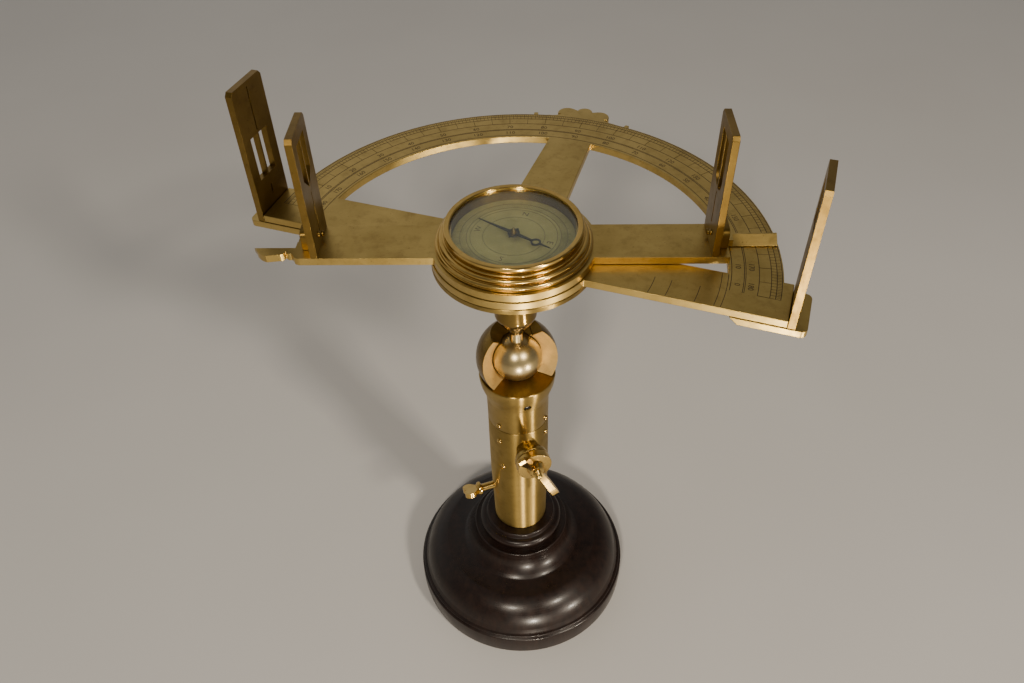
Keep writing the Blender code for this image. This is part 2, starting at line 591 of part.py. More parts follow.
def build_alidade():
    """The turning rule with its central ring and fiducial tongues, and its two sights."""
    outlines = [alidade_outline(), circle(0, 0, RING_BORE, 36)]
    top = ALIDADE_TOP - PLATE_TOP
    rule = flat("alidade_rule", outlines, ALIDADE_BASE - PLATE_TOP, top, BRASS, ALIDADE)
    low, reach, beyond = ALIDADE_BASE - PLATE_TOP + 0.5 * MM, 4.6 * MM, 1.0 * MM
    drop = beyond * (top - low) / reach
    for side in (1, -1):
        wedge = [(-side * beyond, low - drop), (side * reach, top), (side * reach, top + beyond),
                 (-side * beyond, top + beyond)]
        start, end = sorted((side * 103.6 * MM, side * (TONGUE_END + beyond)))
        bevel_cut = flat(f"fiducial_bevel_{side}", [wedge], start, end, BRASS, ALIDADE, (0, 0, 0),
                         (math.pi / 2, 0, math.pi / 2))
        combine(rule, bevel_cut, "DIFFERENCE")
    for side, tag in ((1, "right"), (-1, "left")):
        foot = top + GAP
        screws = [(2.8 * MM, foot + 2.6 * MM), (-2.8 * MM, foot + 6.6 * MM)]
        holes = [(y, z, 1.1 * MM) for y, z in screws]
        window = (34.0 * MM, 60.0 * MM) if side < 0 else (33.0 * MM, 61.0 * MM)
        build_sight("alidade_sight_" + tag, side, ALIDADE_SIGHT, foot, window, [(9.6 * MM, 32.0 * MM)],
                    holes, ALIDADE)
        start = side * (ALIDADE_SIGHT + SIGHT_THICK + GAP)
        end = start + side * 4.6 * MM
        ring = [(-6.6 * MM, foot), (6.6 * MM, foot), (6.6 * MM, foot + 8.0 * MM),
                (4.6 * MM, foot + 10.0 * MM), (-4.6 * MM, foot + 10.0 * MM), (-6.6 * MM, foot + 8.0 * MM)]
        flat("sight_block_" + tag, [ring] + [circle(y, z, radius, 8) for y, z, radius in holes],
             min(start, end), max(start, end), BRASS, ALIDADE, (0, 0, 0), (math.pi / 2, 0, math.pi / 2))
        for index, (y, z) in enumerate(screws):
            face = ALIDADE_SIGHT - GAP
            turned(f"sight_screw_{tag}_{index + 1}", [
                (0.0, -face + 1.0 * MM), (1.2 * MM, -face + 1.0 * MM), (1.6 * MM, -face + 0.6 * MM),
                (1.6 * MM, -face), (0.8 * MM, -face), (0.8 * MM, -face - 7.0 * MM),
                (0.0, -face - 7.0 * MM)], BRASS, ALIDADE, 12, (0, y, z), (0, -side * math.pi / 2, 0))


# ---------------------------------------------------------------- compass

def build_compass():
    """Compass box with its hub through the alidade's ring, dial, pivot, needle, glass and bezel."""
    def up(pairs):
        return [(radius * MM, height * MM - PLATE_TOP) for radius, height in pairs]

    outside = [(29.4, 287.5), (33.0, 287.5)]
    outside += [(r / MM, z / MM) for r, z in arc(33.4 * MM, 286.2 * MM, 1.1 * MM, 80, -60, 2)]
    outside += [(34.3, 285.0)]
    outside += [(r / MM, z / MM) for r, z in arc(34.9 * MM, 284.0 * MM, 1.0 * MM, 90, -60, 2)]
    outside += [(36.0, 282.9), (37.2, 282.4), (37.7, 281.6), (37.4, 281.0)]
    hub = [(30.0, 281.0), (30.0, 276.8), (4.3, 276.8), (4.3, 281.4), (0.0, 281.4)]
    turned("compass_box", up([(0.0, 282.2), (29.4, 282.2)] + outside + hub), BRIGHT_BRASS, PLATE, 36)
    turned("compass_dial", up([(1.8, 283.0), (29.0, 283.0), (29.0, 282.5), (1.8, 282.5)]), DIAL, PLATE, 32)
    turned("compass_pivot", up([(0.0, 286.6), (0.3, 286.1), (0.7, 283.4), (1.4, 283.2), (1.4, 282.5),
                                (0.0, 282.5)]), STEEL, PLATE, 12)
    turned("compass_glass", up([(0.0, 289.3), (31.0, 289.3), (31.0, 287.9), (0.0, 287.9)]), GLASS, PLATE, 32)
    turned("compass_bezel", up([(30.1, 290.3), (30.6, 290.7), (32.4, 290.7), (33.0, 290.1),
                                (33.0, 287.8), (31.4, 287.8), (31.4, 289.6), (30.1, 289.6)]),
           BRIGHT_BRASS, PLATE, 36)

    half, ring_at, ring_out, ring_in = NEEDLE_HALF, 12.6 * MM, 2.5 * MM, 1.6 * MM
    hub_out = 2.9 * MM
    meet = math.degrees(math.asin(0.55 * MM / ring_out))
    hub_meet = math.degrees(math.asin(0.9 * MM / hub_out))
    side = arc(0, 0, hub_out, 180 - hub_meet, hub_meet, 6)
    side += arc(ring_at, 0, ring_out, 180 - meet, meet, 6)
    upper = [(-half, 0.0)] + side + [(half, 0.0)]
    lower = [(x, -y) for x, y in reversed(side)]
    thick = 0.35 * MM
    holes = [circle(0, 0, 1.9 * MM, 12), circle(ring_at, 0, ring_in, 10)]
    flat("compass_needle", [upper + lower] + holes, -thick, thick, STEEL, NEEDLE)
    turned("needle_cap", [(0.0, 3.0 * MM), (0.5 * MM, 2.8 * MM),
                          (1.6 * MM, -0.2 * MM), (1.0 * MM, -0.2 * MM), (0.0, 2.4 * MM)],
           BRIGHT_BRASS, NEEDLE, 12)


# ---------------------------------------------------------------- build

clear_scene()
PARTS = collection("graphometer")
CUTTERS = collection("cutters")
GUIDES = collection("axes")
BRASS = material("aged_brass", (0.55, 0.38, 0.13), 0.32, 1.0)
BRIGHT_BRASS = material("polished_brass", (0.68, 0.47, 0.17), 0.2, 1.0)
DARK_WOOD = material("dark_turned_wood", (0.03, 0.018, 0.013), 0.25, 0.0)
STEEL = material("blued_steel", (0.06, 0.07, 0.09), 0.3, 1.0)
GLASS = material("compass_glass", (0.85, 0.9, 0.85), 0.03, 0.0)
DIAL = material("silvered_dial", (0.42, 0.4, 0.24), 0.4, 0.6)

FOOT = empty("foot_origin", (0, 0, 0))
SOCKET = empty("socket_axis", (0, 0, 0), (0, 0, SOCKET_TURN))
JAW = empty("jaw_axis", (JAW_HINGE_X, 0, JAW_HINGE_Z), (0, 0, 0), SOCKET)
WING = empty("wing_nut_axis", (0, 0, CLAMP_HEIGHT), (math.pi / 2, math.radians(62), 0), SOCKET)
THUMB = empty("thumb_screw_axis", (0, 0, THUMB_HEIGHT), (math.pi / 2, 0, THUMB_TURN + math.pi / 2))
BALL = empty("ball_centre", (0, 0, BALL_CENTRE), (0, 0, SOCKET_TURN))
PLATE = empty("plate_axis", (0, 0, PLATE_TOP), (0, 0, PLATE_TURN))
ALIDADE = empty("alidade_axis", (0, 0, PLATE_TOP), (0, 0, 0))
NEEDLE = empty("needle_axis", (0, 0, NEEDLE_HEIGHT), (0, 0, NEEDLE_TURN))

build_foot()
build_socket()
build_joint_screws()
build_clamp()
build_ball()
build_plate()
build_end_plates()
build_fixed_sights()
build_alidade()
build_compass()
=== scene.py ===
"""Looks of the graphometer: fine turned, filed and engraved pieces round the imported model.

Lengths here are in millimetres and become metres where a mesh is made. Places come from the
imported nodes' boxes, or are worked out from the few driving sizes below.
"""
import math

import bmesh
import bpy
from mathutils import Euler, Matrix, Vector


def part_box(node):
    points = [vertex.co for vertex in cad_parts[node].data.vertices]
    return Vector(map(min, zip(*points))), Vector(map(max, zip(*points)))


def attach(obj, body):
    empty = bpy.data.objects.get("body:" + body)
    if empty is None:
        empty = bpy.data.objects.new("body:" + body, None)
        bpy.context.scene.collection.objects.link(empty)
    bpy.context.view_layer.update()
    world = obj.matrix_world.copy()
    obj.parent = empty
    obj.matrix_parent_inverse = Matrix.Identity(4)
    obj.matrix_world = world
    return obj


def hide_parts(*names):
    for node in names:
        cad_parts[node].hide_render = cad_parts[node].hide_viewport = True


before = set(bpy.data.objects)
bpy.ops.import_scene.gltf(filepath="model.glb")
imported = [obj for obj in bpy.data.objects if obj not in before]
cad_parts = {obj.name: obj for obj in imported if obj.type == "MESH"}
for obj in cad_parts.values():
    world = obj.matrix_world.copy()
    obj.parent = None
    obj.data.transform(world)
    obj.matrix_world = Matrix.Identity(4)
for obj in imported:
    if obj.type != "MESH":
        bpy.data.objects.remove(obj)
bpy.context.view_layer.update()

MM = 0.001
WELD = 0.000005


def low(node):
    """The height of the node's lowest point, in millimetres."""
    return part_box(node)[0][2] / MM


def high(node):
    """The height of the node's highest point, in millimetres."""
    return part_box(node)[1][2] / MM


GAP = 0.3
FOOT_RADIUS = 67.6
FOOT_TOP = high("wood_base")
TUBE_JOINT = high("socket_tube")
TUBE_FOOT = low("socket_tube")
TUBE_RADIUS = 17.2
TUBE_BORE = 13.0
LEDGE = 192.3
RIM_RADIUS = 21.0
BALL_RADIUS = 13.4
BALL_CENTRE = low("ball_stem") + BALL_RADIUS
SHELL_RADIUS = 22.0
CUP_RADIUS = 13.8
THROAT = 9.4
FUNNEL = [(21.5, 26.0), (THROAT, 12.7), (THROAT - 3.6, 8.0)]
JAW_SEAM = LEDGE + GAP
PAD_BORE = 7.0
CLAMP_HEIGHT = (low("clamp_stud") + high("clamp_stud")) / 2
PAD_SCREW_HEIGHT = 181.0
STUD_RADIUS = 2.7
THUMB_HEIGHT = 96.0
THUMB_RADIUS = 2.4

PLATE_TOP = high("graduated_plate")
PLATE_THICK = PLATE_TOP - low("graduated_plate")
BOSS_BOTTOM = low("centre_boss")
END_PLATE_TOP = high("end_plate_left")
END_PLATE_THICK = END_PLATE_TOP - low("end_plate_left")
LIMB_OUTER = 125.4
LIMB_INNER = 100.4
BOSS_RADIUS = 40.0
ARM_HALF = 12.9
ARM_FAR = 12.1
SPOKE_HALF_IN = 13.6
SPOKE_HALF_OUT = 11.8
SPOKE_TURN = 0.8
LIMB_PEG_ANGLE = 12.2
FLEURON_ANGLE = 9.6
ALIDADE_BASE = low("alidade_rule")
ALIDADE_TOP = high("alidade_rule")
ALIDADE_HALF = 12.8
RING_RADIUS = 39.4
RING_BORE = 30.4
TONGUE_END = 124.6
SIGHT_THICK = 3.3
SIGHT_TOP = high("fixed_sight_left")
ALIDADE_SIGHT = 91.5
FIXED_SIGHT = 129.6
DIAL_TOP = high("compass_dial")
NEEDLE_HEIGHT = (low("compass_needle") + high("compass_needle")) / 2

SOCKET_TURN = math.radians(18.0)
PLATE_TURN = math.radians(-17.8)
THUMB_TURN = math.radians(200.0)
WING_TURN = math.radians(62.0)
NEEDLE_TURN = math.radians(-34.5)
QUARTER = math.pi / 2


def pose(place=(0, 0, 0), turn=(0, 0, 0)):
    """A frame at a place in millimetres, turned by Euler angles in radians."""
    return Matrix.Translation(Vector(place) * MM) @ Euler(turn).to_matrix().to_4x4()


WORLD = pose()
SOCKET = pose(turn=(0, 0, SOCKET_TURN))
BALL = SOCKET @ pose((0, 0, BALL_CENTRE))
CLAMP = SOCKET @ pose((0, 0, CLAMP_HEIGHT), (QUARTER, 0, 0))
WING = SOCKET @ pose((0, 0, CLAMP_HEIGHT), (QUARTER, WING_TURN, 0))
THUMB = pose((0, 0, THUMB_HEIGHT), (QUARTER, 0, THUMB_TURN + QUARTER))
PLATE = pose((0, 0, PLATE_TOP), (0, 0, PLATE_TURN))
ALIDADE = pose((0, 0, PLATE_TOP))
HEAD = pose(turn=(0, 0, PLATE_TURN))
NEEDLE = pose((0, 0, NEEDLE_HEIGHT), (0, 0, NEEDLE_TURN))
ACROSS = pose(turn=(QUARTER, 0, QUARTER))


# ---------------------------------------------------------------- materials

# The depth of tool marks, in metres, and the sheen's turn about the normal, in whole turns.
TOOL_MARKS = 0.00002
FINE_MARKS = 0.000008
SHEEN_TURN = 0.25


class Look:
    """A node material in the making, with the record's slot that it belongs to."""

    def __init__(self, name, slot, metallic, roughness):
        self.material = bpy.data.materials.new(name)
        self.material.use_nodes = True
        self.slot = slot
        self.tree = self.material.node_tree
        self.shader = self.tree.nodes["Principled BSDF"]
        self.shader.inputs["Metallic"].default_value = metallic
        self.shader.inputs["Roughness"].default_value = roughness
        self.place = self.add("ShaderNodeTexCoord").outputs["Object"]

    def add(self, kind, **settings):
        made = self.tree.nodes.new(kind)
        for name, value in settings.items():
            setattr(made, name, value)
        return made

    def link(self, source, target):
        self.tree.links.new(source, target)

    def maths(self, operation, first, second=None):
        node = self.add("ShaderNodeMath", operation=operation)
        for socket, value in zip(node.inputs, (first, second)):
            if isinstance(value, (int, float)):
                socket.default_value = value
            elif value is not None:
                self.link(value, socket)
        return node.outputs[0]

    def stretched(self, scale):
        """Object coordinates in metres, scaled on each axis."""
        node = self.add("ShaderNodeMapping")
        node.inputs["Scale"].default_value = scale
        self.link(self.place, node.inputs["Vector"])
        return node.outputs[0]

    def round_axis(self):
        """Coordinates that only change with radius and height: turning marks follow them."""
        parts = self.add("ShaderNodeSeparateXYZ")
        self.link(self.place, parts.inputs[0])
        x, y, z = parts.outputs
        square = self.maths("ADD", self.maths("MULTIPLY", x, x), self.maths("MULTIPLY", y, y))
        radius = self.maths("SQRT", square)
        joined = self.add("ShaderNodeCombineXYZ")
        self.link(radius, joined.inputs[0])
        self.link(z, joined.inputs[2])
        return joined.outputs[0]

    def noise(self, vector, scale, detail=3.0, rough=0.55):
        node = self.add("ShaderNodeTexNoise")
        node.inputs["Scale"].default_value = scale
        node.inputs["Detail"].default_value = detail
        node.inputs["Roughness"].default_value = rough
        self.link(vector, node.inputs["Vector"])
        return node.outputs["Fac"]

    def spread(self, source, start, end, from_start=0.3, from_end=0.7):
        """Map a noise's middle range on to start to end."""
        node = self.add("ShaderNodeMapRange")
        for name, value in (("From Min", from_start), ("From Max", from_end),
                            ("To Min", start), ("To Max", end)):
            node.inputs[name].default_value = value
        self.link(source, node.inputs["Value"])
        return node.outputs[0]

    def mix(self, factor, first, second):
        """Mix two colours; each is a colour or another mix's output."""
        node = self.add("ShaderNodeMix", data_type="RGBA")
        self.link(factor, node.inputs["Factor"])
        for socket, value in ((node.inputs[6], first), (node.inputs[7], second)):
            if isinstance(value, tuple):
                socket.default_value = (*value, 1.0)
            else:
                self.link(value, socket)
        return node.outputs[2]

    def bump(self, height, strength, distance):
        node = self.add("ShaderNodeBump")
        node.inputs["Strength"].default_value = strength
        node.inputs["Distance"].default_value = distance
        self.link(height, node.inputs["Height"])
        self.link(node.outputs[0], self.shader.inputs["Normal"])

    def colour(self, source):
        self.link(source, self.shader.inputs["Base Color"])

    def roughness(self, source):
        self.link(source, self.shader.inputs["Roughness"])

    def turned_sheen(self, amount):
        """The lathe's fine rings draw a highlight out along the axis."""
        tangent = self.add("ShaderNodeTangent", direction_type="RADIAL", axis="Z")
        self.link(tangent.outputs[0], self.shader.inputs["Tangent"])
        self.shader.inputs["Anisotropic"].default_value = amount
        self.shader.inputs["Anisotropic Rotation"].default_value = SHEEN_TURN

    def darken(self, factor, tone, rough):
        """Lay painted shade over what the look has so far."""
        shown = self.shader.inputs["Base Color"].links[0].from_socket
        self.colour(self.mix(factor, shown, tone))
        shine = self.shader.inputs["Roughness"].links[0].from_socket
        blend = self.add("ShaderNodeMix")
        self.link(factor, blend.inputs["Factor"])
        self.link(shine, blend.inputs["A"])
        blend.inputs["B"].default_value = rough
        self.roughness(blend.outputs["Result"])


def brass(name, slot, tones, smooth, rough, depth=TOOL_MARKS, marks="turned"):
    """Old brass: patches of tarnish, dark freckles, and tool marks that follow the work."""
    look = Look(name, slot, 1.0, smooth)
    bright, dull, stain = tones
    patches = look.noise(look.place, 38.0, 4.0, 0.6)
    clouds = look.noise(look.place, 160.0, 5.0, 0.65)
    tone = look.mix(look.spread(patches, 0.0, 1.0), bright, dull)
    tone = look.mix(look.spread(clouds, 0.0, 0.45, 0.5, 0.78), tone, stain)
    freckles = look.noise(look.place, 900.0, 2.0, 0.5)
    tone = look.mix(look.spread(freckles, 0.0, 0.6, 0.66, 0.76), tone, stain)
    vector = look.round_axis() if marks == "turned" else look.stretched(marks)
    strokes = look.noise(vector, 2600.0 if marks == "turned" else 1.0, 3.0, 0.6)
    look.colour(look.mix(look.spread(strokes, 0.0, 0.22), tone, dull))
    both = look.maths("MULTIPLY_ADD", strokes, 0.6)
    look.link(clouds, both.node.inputs[2])
    look.roughness(look.spread(both, smooth, rough, 0.45, 1.15))
    look.bump(strokes, 0.35, depth)
    return look


def clouded(name, slot, metallic, scale, tones, smooth, rough):
    """A look in soft patches of two tones and two degrees of gloss."""
    look = Look(name, slot, metallic, smooth)
    cloud = look.noise(look.place, scale, 4.0, 0.6)
    look.colour(look.mix(look.spread(cloud, 0.0, 1.0), *tones))
    look.roughness(look.spread(cloud, smooth, rough))
    return look


def box_brass():
    """The compass box's brass: bright mouldings outside, and the wall inside darkened with painted shade.
    """
    look = brass("moulded_box_brass", "polished_brass", POLISHED_TONES, 0.16, 0.28, FINE_MARKS)
    parts = look.add("ShaderNodeSeparateXYZ")
    look.link(look.round_axis(), parts.inputs[0])
    # Painted shade: the box wall inside, and all within its radius, is darkened to a near-black brass.
    look.darken(look.spread(parts.outputs[0], 0.85, 0.0, 0.02945, 0.0296), (0.05, 0.035, 0.014), 0.4)
    return look


def dark_wood():
    """Near-black polished wood: faint grain, turning rings and a waxed gloss."""
    look = Look("dark_wood", "dark_turned_wood", 0.0, 0.2)
    grain = look.noise(look.stretched((60.0, 60.0, 9.0)), 4.0, 6.0, 0.65)
    fleck = look.noise(look.stretched((900.0, 260.0, 120.0)), 1.0, 3.0, 0.6)
    tone = look.mix(look.spread(grain, 0.0, 1.0), (0.0050, 0.0026, 0.0021), (0.015, 0.0075, 0.0052))
    look.colour(look.mix(look.spread(fleck, 0.0, 0.6, 0.5, 0.8), tone, (0.0035, 0.0024, 0.0020)))
    rings = look.noise(look.round_axis(), 900.0, 3.0, 0.6)
    wear = look.noise(look.place, 70.0, 4.0, 0.6)
    both = look.maths("MULTIPLY_ADD", rings, 0.5)
    look.link(wear, both.node.inputs[2])
    look.roughness(look.spread(both, 0.22, 0.42, 0.5, 1.0))
    look.bump(rings, 0.2, 0.00006)
    look.shader.inputs["Specular IOR Level"].default_value = 0.28
    look.shader.inputs["Coat Weight"].default_value = 0.08
    look.shader.inputs["Coat Roughness"].default_value = 0.14
    return look


def steel(name, tones, smooth, rough):
    look = clouded(name, "blued_steel", 1.0, 420.0, tones, smooth, rough)
    look.bump(look.noise(look.place, 2400.0), 0.2, 0.00001)
    return look


def dial_face():
    """Lacquered dial, pale olive, a little cloudy, with fine turning marks."""
    look = Look("dial_face", "silvered_dial", 0.75, 0.42)
    cloud = look.noise(look.place, 110.0, 5.0, 0.6)
    tone = look.mix(look.spread(cloud, 0.0, 1.0), (0.36, 0.32, 0.13), (0.26, 0.23, 0.085))
    rings = look.noise(look.round_axis(), 3000.0)
    look.colour(look.mix(look.spread(rings, 0.0, 0.3), tone, (0.20, 0.175, 0.065)))
    look.roughness(look.spread(cloud, 0.36, 0.5))
    look.bump(rings, 0.25, 0.00001)
    return look


def window_glass():
    look = Look("old_glass", "compass_glass", 0.0, 0.03)
    cloud = look.noise(look.place, 60.0, 2.0, 0.5)
    look.colour(look.mix(look.spread(cloud, 0.0, 1.0), (0.86, 0.93, 0.84), (0.90, 0.95, 0.87)))
    look.shader.inputs["Transmission Weight"].default_value = 1.0
    look.shader.inputs["IOR"].default_value = 1.48
    return look


PLATE_TONES = ((0.56, 0.405, 0.135), (0.40, 0.28, 0.083), (0.16, 0.10, 0.030))
SIGHT_TONES = ((0.27, 0.175, 0.046), (0.17, 0.105, 0.025), (0.08, 0.045, 0.011))
TUBE_TONES = ((0.48, 0.335, 0.105), (0.35, 0.235, 0.065), (0.16, 0.10, 0.028))
POLISHED_TONES = ((0.62, 0.43, 0.14), (0.48, 0.31, 0.085), (0.20, 0.115, 0.03))
BALL_TONES = ((0.56, 0.46, 0.25), (0.46, 0.355, 0.17), (0.22, 0.155, 0.065))
FILED_TONES = ((0.80, 0.55, 0.21), (0.66, 0.43, 0.14), (0.34, 0.20, 0.06))
# Painted shade: a dark brass for the flared neck, in place of the dark surroundings it reflects.
NECK_SHADE_TONES = ((0.26, 0.17, 0.05), (0.18, 0.11, 0.03), (0.09, 0.05, 0.013))
STEEL_TONES = ((0.085, 0.080, 0.072), (0.04, 0.036, 0.032))
NEEDLE_TONES = ((0.030, 0.032, 0.036), (0.016, 0.017, 0.02))
FILL_TONES = ((0.022, 0.015, 0.006), (0.085, 0.055, 0.018))
# Near-black painted shade for the cup's lower part, round the ball.
CUP_SHADE_TONES = ((0.010, 0.007, 0.003), (0.05, 0.032, 0.012))

SATIN = brass("satin_plate_brass", "aged_brass", PLATE_TONES, 0.28, 0.44, marks=(90.0, 2600.0, 2600.0))
LIMB = brass("satin_limb_brass", "aged_brass", PLATE_TONES, 0.28, 0.44)
SIGHTS = brass("sight_brass", "aged_brass", SIGHT_TONES, 0.26, 0.42, marks=(2400.0, 120.0, 2400.0))
TUBE = brass("turned_tube_brass", "aged_brass", TUBE_TONES, 0.34, 0.45)
TUBE.turned_sheen(0.97)
SHELL = brass("socket_brass", "aged_brass", TUBE_TONES, 0.25, 0.36)
SHELL.turned_sheen(0.97)
FILED = brass("filed_cheek_brass", "aged_brass", FILED_TONES, 0.34, 0.50, marks=(500.0, 2400.0, 500.0))
FILED.shader.inputs["Metallic"].default_value = 0.55
# A darker brass for the ledge, the funnel round the stem and the cup's upper part.
LEDGE_BRASS = brass("darker_ledge_brass", "aged_brass", SIGHT_TONES, 0.36, 0.5,
                    marks=(500.0, 2400.0, 500.0))
CUP_SHADE = clouded("cup_painted_shade", "aged_brass", 0.6, 300.0, CUP_SHADE_TONES, 0.4, 0.6)
CROWN = brass("dark_crown_brass", "aged_brass", SIGHT_TONES, 0.20, 0.34)
# The flared neck's brass is darkened as painted shade, standing in for a dark reflection.
TRUMPET = brass("neck_brass_painted_shade", "polished_brass", NECK_SHADE_TONES, 0.10, 0.20, FINE_MARKS)
SATIN_DISC = brass("satin_disc_brass", "polished_brass", POLISHED_TONES, 0.22, 0.34)
CLAMP_BRASS = brass("clamp_brass", "aged_brass", TUBE_TONES, 0.18, 0.32)
POLISHED = brass("polished_brass", "polished_brass", POLISHED_TONES, 0.10, 0.22, FINE_MARKS)
BOX_BRASS = box_brass()
BALL_BRASS = brass("worn_ball_brass", "polished_brass", BALL_TONES, 0.24, 0.36, FINE_MARKS)
STEEL = steel("dark_steel", STEEL_TONES, 0.22, 0.4)
NEEDLE_STEEL = steel("needle_steel", NEEDLE_TONES, 0.3, 0.45)
WOOD = dark_wood()
DIAL = dial_face()
FILL = clouded("engraving_fill", "aged_brass", 0.35, 600.0, FILL_TONES, 0.45, 0.7)
GLASS = window_glass()


# ---------------------------------------------------------------- shapes

def add_object(name, data):
    made = bpy.data.objects.new(name, data)
    bpy.context.scene.collection.objects.link(made)
    return made


def to_mesh(form, name):
    """Write a bmesh to a new mesh and free it."""
    mesh = bpy.data.meshes.new(name)
    form.to_mesh(mesh)
    form.free()
    return mesh


def finish(name, mesh, look, body, replaces, place):
    """Make the object in its place, give it its look, and let it ride on its body."""
    made = add_object(name, mesh)
    made.matrix_world = place
    made.data.materials.append(look.material)
    if body:
        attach(made, body)
    if replaces:
        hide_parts(*replaces)
    return made


def polar(radius, angle):
    """The point at a radius and an angle in degrees."""
    turn = math.radians(angle)
    return radius * math.cos(turn), radius * math.sin(turn)


def arc(centre_x, centre_y, radius, start, end, steps):
    """Points along an arc, both ends included; angles in degrees."""
    points = []
    for step in range(steps + 1):
        x, y = polar(radius, start + (end - start) * step / steps)
        points.append((centre_x + x, centre_y + y))
    return points


def circle(centre_x, centre_y, radius, steps):
    """A closed ring of points that starts half a step round, clear of the axes."""
    half = 180.0 / steps
    return arc(centre_x, centre_y, radius, half, 360.0 - half, steps - 1)


def flowing(points, steps=5):
    """A smooth curve through the points (Catmull-Rom)."""
    known = [Vector(point) for point in points]
    known = [2 * known[0] - known[1]] + known + [2 * known[-1] - known[-2]]
    curve = []
    for before, start, end, after in zip(known, known[1:], known[2:], known[3:]):
        for step in range(steps):
            t = step / steps
            bend = (2 * before - 5 * start + 4 * end - after) * t * t
            curve.append((2 * start + (end - before) * t + bend
                          + (3 * start - before - 3 * end + after) * t ** 3) / 2)
    return [tuple(point) for point in curve] + [tuple(points[-1])]


def mirrored(points, side):
    return [(side * x, y) for x, y in points]


def smooth(mesh, angle=32):
    mesh.shade_smooth()
    mesh.set_sharp_from_angle(angle=math.radians(angle))


def turned_mesh(name, profile, steps):
    """A turned solid from (radius, height) pairs, closed on the axis or as a ring."""
    form = bmesh.new()
    rings = []
    for radius, height in profile:
        count = 1 if radius < 1e-6 else steps
        rings.append([form.verts.new((radius * MM * math.cos(math.tau * k / steps),
                                      radius * MM * math.sin(math.tau * k / steps), height * MM))
                      for k in range(count)])
    pairs = list(zip(rings, rings[1:]))
    if min(radius for radius, height in profile) > 1e-6:
        pairs.append((rings[-1], rings[0]))
    for upper, lower in pairs:
        for k in range(steps):
            corners = [upper[k % len(upper)], upper[(k + 1) % len(upper)],
                       lower[(k + 1) % len(lower)], lower[k % len(lower)]]
            corners = list(dict.fromkeys(corners))
            if len(corners) > 2:
                form.faces.new(corners)
    bmesh.ops.recalc_face_normals(form, faces=form.faces)
    mesh = to_mesh(form, name)
    smooth(mesh)
    return mesh


def turned(name, profile, look, body, replaces=(), place=WORLD, steps=128):
    return finish(name, turned_mesh(name, profile, steps), look, body, replaces, place)


def flat_mesh(name, outlines, bottom, top):
    """A flat solid from closed outlines, the holes after the edge."""
    curve = bpy.data.curves.new(name + "_outline", "CURVE")
    curve.dimensions = "2D"
    curve.fill_mode = "BOTH"
    curve.extrude = (top - bottom) / 2
    for outline in outlines:
        spline = curve.splines.new("POLY")
        spline.points.add(len(outline) - 1)
        for point, (x, y) in zip(spline.points, outline):
            point.co = (x, y, 0.0, 1.0)
        spline.use_cyclic_u = True
    mesh = curve_to_mesh(name, curve)
    mesh.transform(Matrix.Scale(MM, 4))
    form = bmesh.new()
    form.from_mesh(mesh)
    bmesh.ops.remove_doubles(form, verts=form.verts, dist=WELD)
    bmesh.ops.dissolve_degenerate(form, edges=form.edges, dist=WELD / 5)
    bmesh.ops.dissolve_limit(form, angle_limit=math.radians(0.5), verts=[], edges=form.edges)
    bmesh.ops.translate(form, verts=form.verts, vec=(0, 0, (top + bottom) / 2 * MM))
    bmesh.ops.recalc_face_normals(form, faces=form.faces)
    form.to_mesh(mesh)
    form.free()
    return mesh


def curve_to_mesh(name, curve):
    drawn = add_object(name + "_drawn", curve)
    bpy.context.view_layer.update()
    shape = drawn.evaluated_get(bpy.context.evaluated_depsgraph_get())
    mesh = bpy.data.meshes.new_from_object(shape)
    mesh.name = name
    bpy.data.objects.remove(drawn, do_unlink=True)
    return mesh


def flat(name, outlines, bottom, top, look, body, replaces=(), place=WORLD, edge=0.3):
    made = finish(name, flat_mesh(name, outlines, bottom, top), look, body, replaces, place)
    if edge:
        eased(made, edge)
    return made


def eased(piece, width, segments=2):
    """A small rounded bevel on every sharp edge."""
    bevel = piece.modifiers.new("Eased edge", "BEVEL")
    bevel.width = width * MM
    bevel.segments = segments
    bevel.limit_method = "ANGLE"
    bevel.angle_limit = math.radians(38)
    bevel.harden_normals = True
    bevel.loop_slide = False
    smooth(piece.data, 28)


def cut(piece, cutter_mesh, place, operation="DIFFERENCE"):
    """Cut a piece with a mesh, or join one to it, for good."""
    tool = add_object("cutter", cutter_mesh)
    tool.matrix_world = place
    boolean = piece.modifiers.new("Cut", "BOOLEAN")
    boolean.operation = operation
    boolean.solver = "EXACT"
    boolean.object = tool
    bpy.context.view_layer.update()
    shape = piece.evaluated_get(bpy.context.evaluated_depsgraph_get())
    mesh = bpy.data.meshes.new_from_object(shape)
    piece.modifiers.remove(boolean)
    piece.data = mesh
    bpy.data.objects.remove(tool, do_unlink=True)
    smooth(mesh)


def box_mesh(size, centre=(0, 0, 0)):
    form = bmesh.new()
    bmesh.ops.create_cube(form, size=1.0)
    bmesh.ops.scale(form, verts=form.verts, vec=Vector(size) * MM)
    bmesh.ops.translate(form, verts=form.verts, vec=Vector(centre) * MM)
    return to_mesh(form, "box")


def strokes_mesh(name, strokes, top, depth=0.08):
    """Engraved strokes as thin closed bars: each is (points, width) on the flat face."""
    form = bmesh.new()
    for points, width in strokes:
        bar(form, [Vector(point) for point in points], width / 2, top, top - depth)
    bmesh.ops.recalc_face_normals(form, faces=form.faces)
    return to_mesh(form, name)


def bar(form, line, half, top, bottom):
    """One closed bar along a line, square in section."""
    sections = []
    for index, point in enumerate(line):
        ahead = line[min(index + 1, len(line) - 1)] - line[max(index - 1, 0)]
        side = Vector((-ahead.y, ahead.x)).normalized() * half
        corners = ((point + side, top), (point - side, top), (point - side, bottom), (point + side, bottom))
        sections.append([form.verts.new((at.x * MM, at.y * MM, z * MM)) for at, z in corners])
    for first, second in zip(sections, sections[1:]):
        for k in range(4):
            form.faces.new((first[k], first[(k + 1) % 4], second[(k + 1) % 4], second[k]))
    form.faces.new(sections[0])
    form.faces.new(reversed(sections[-1]))


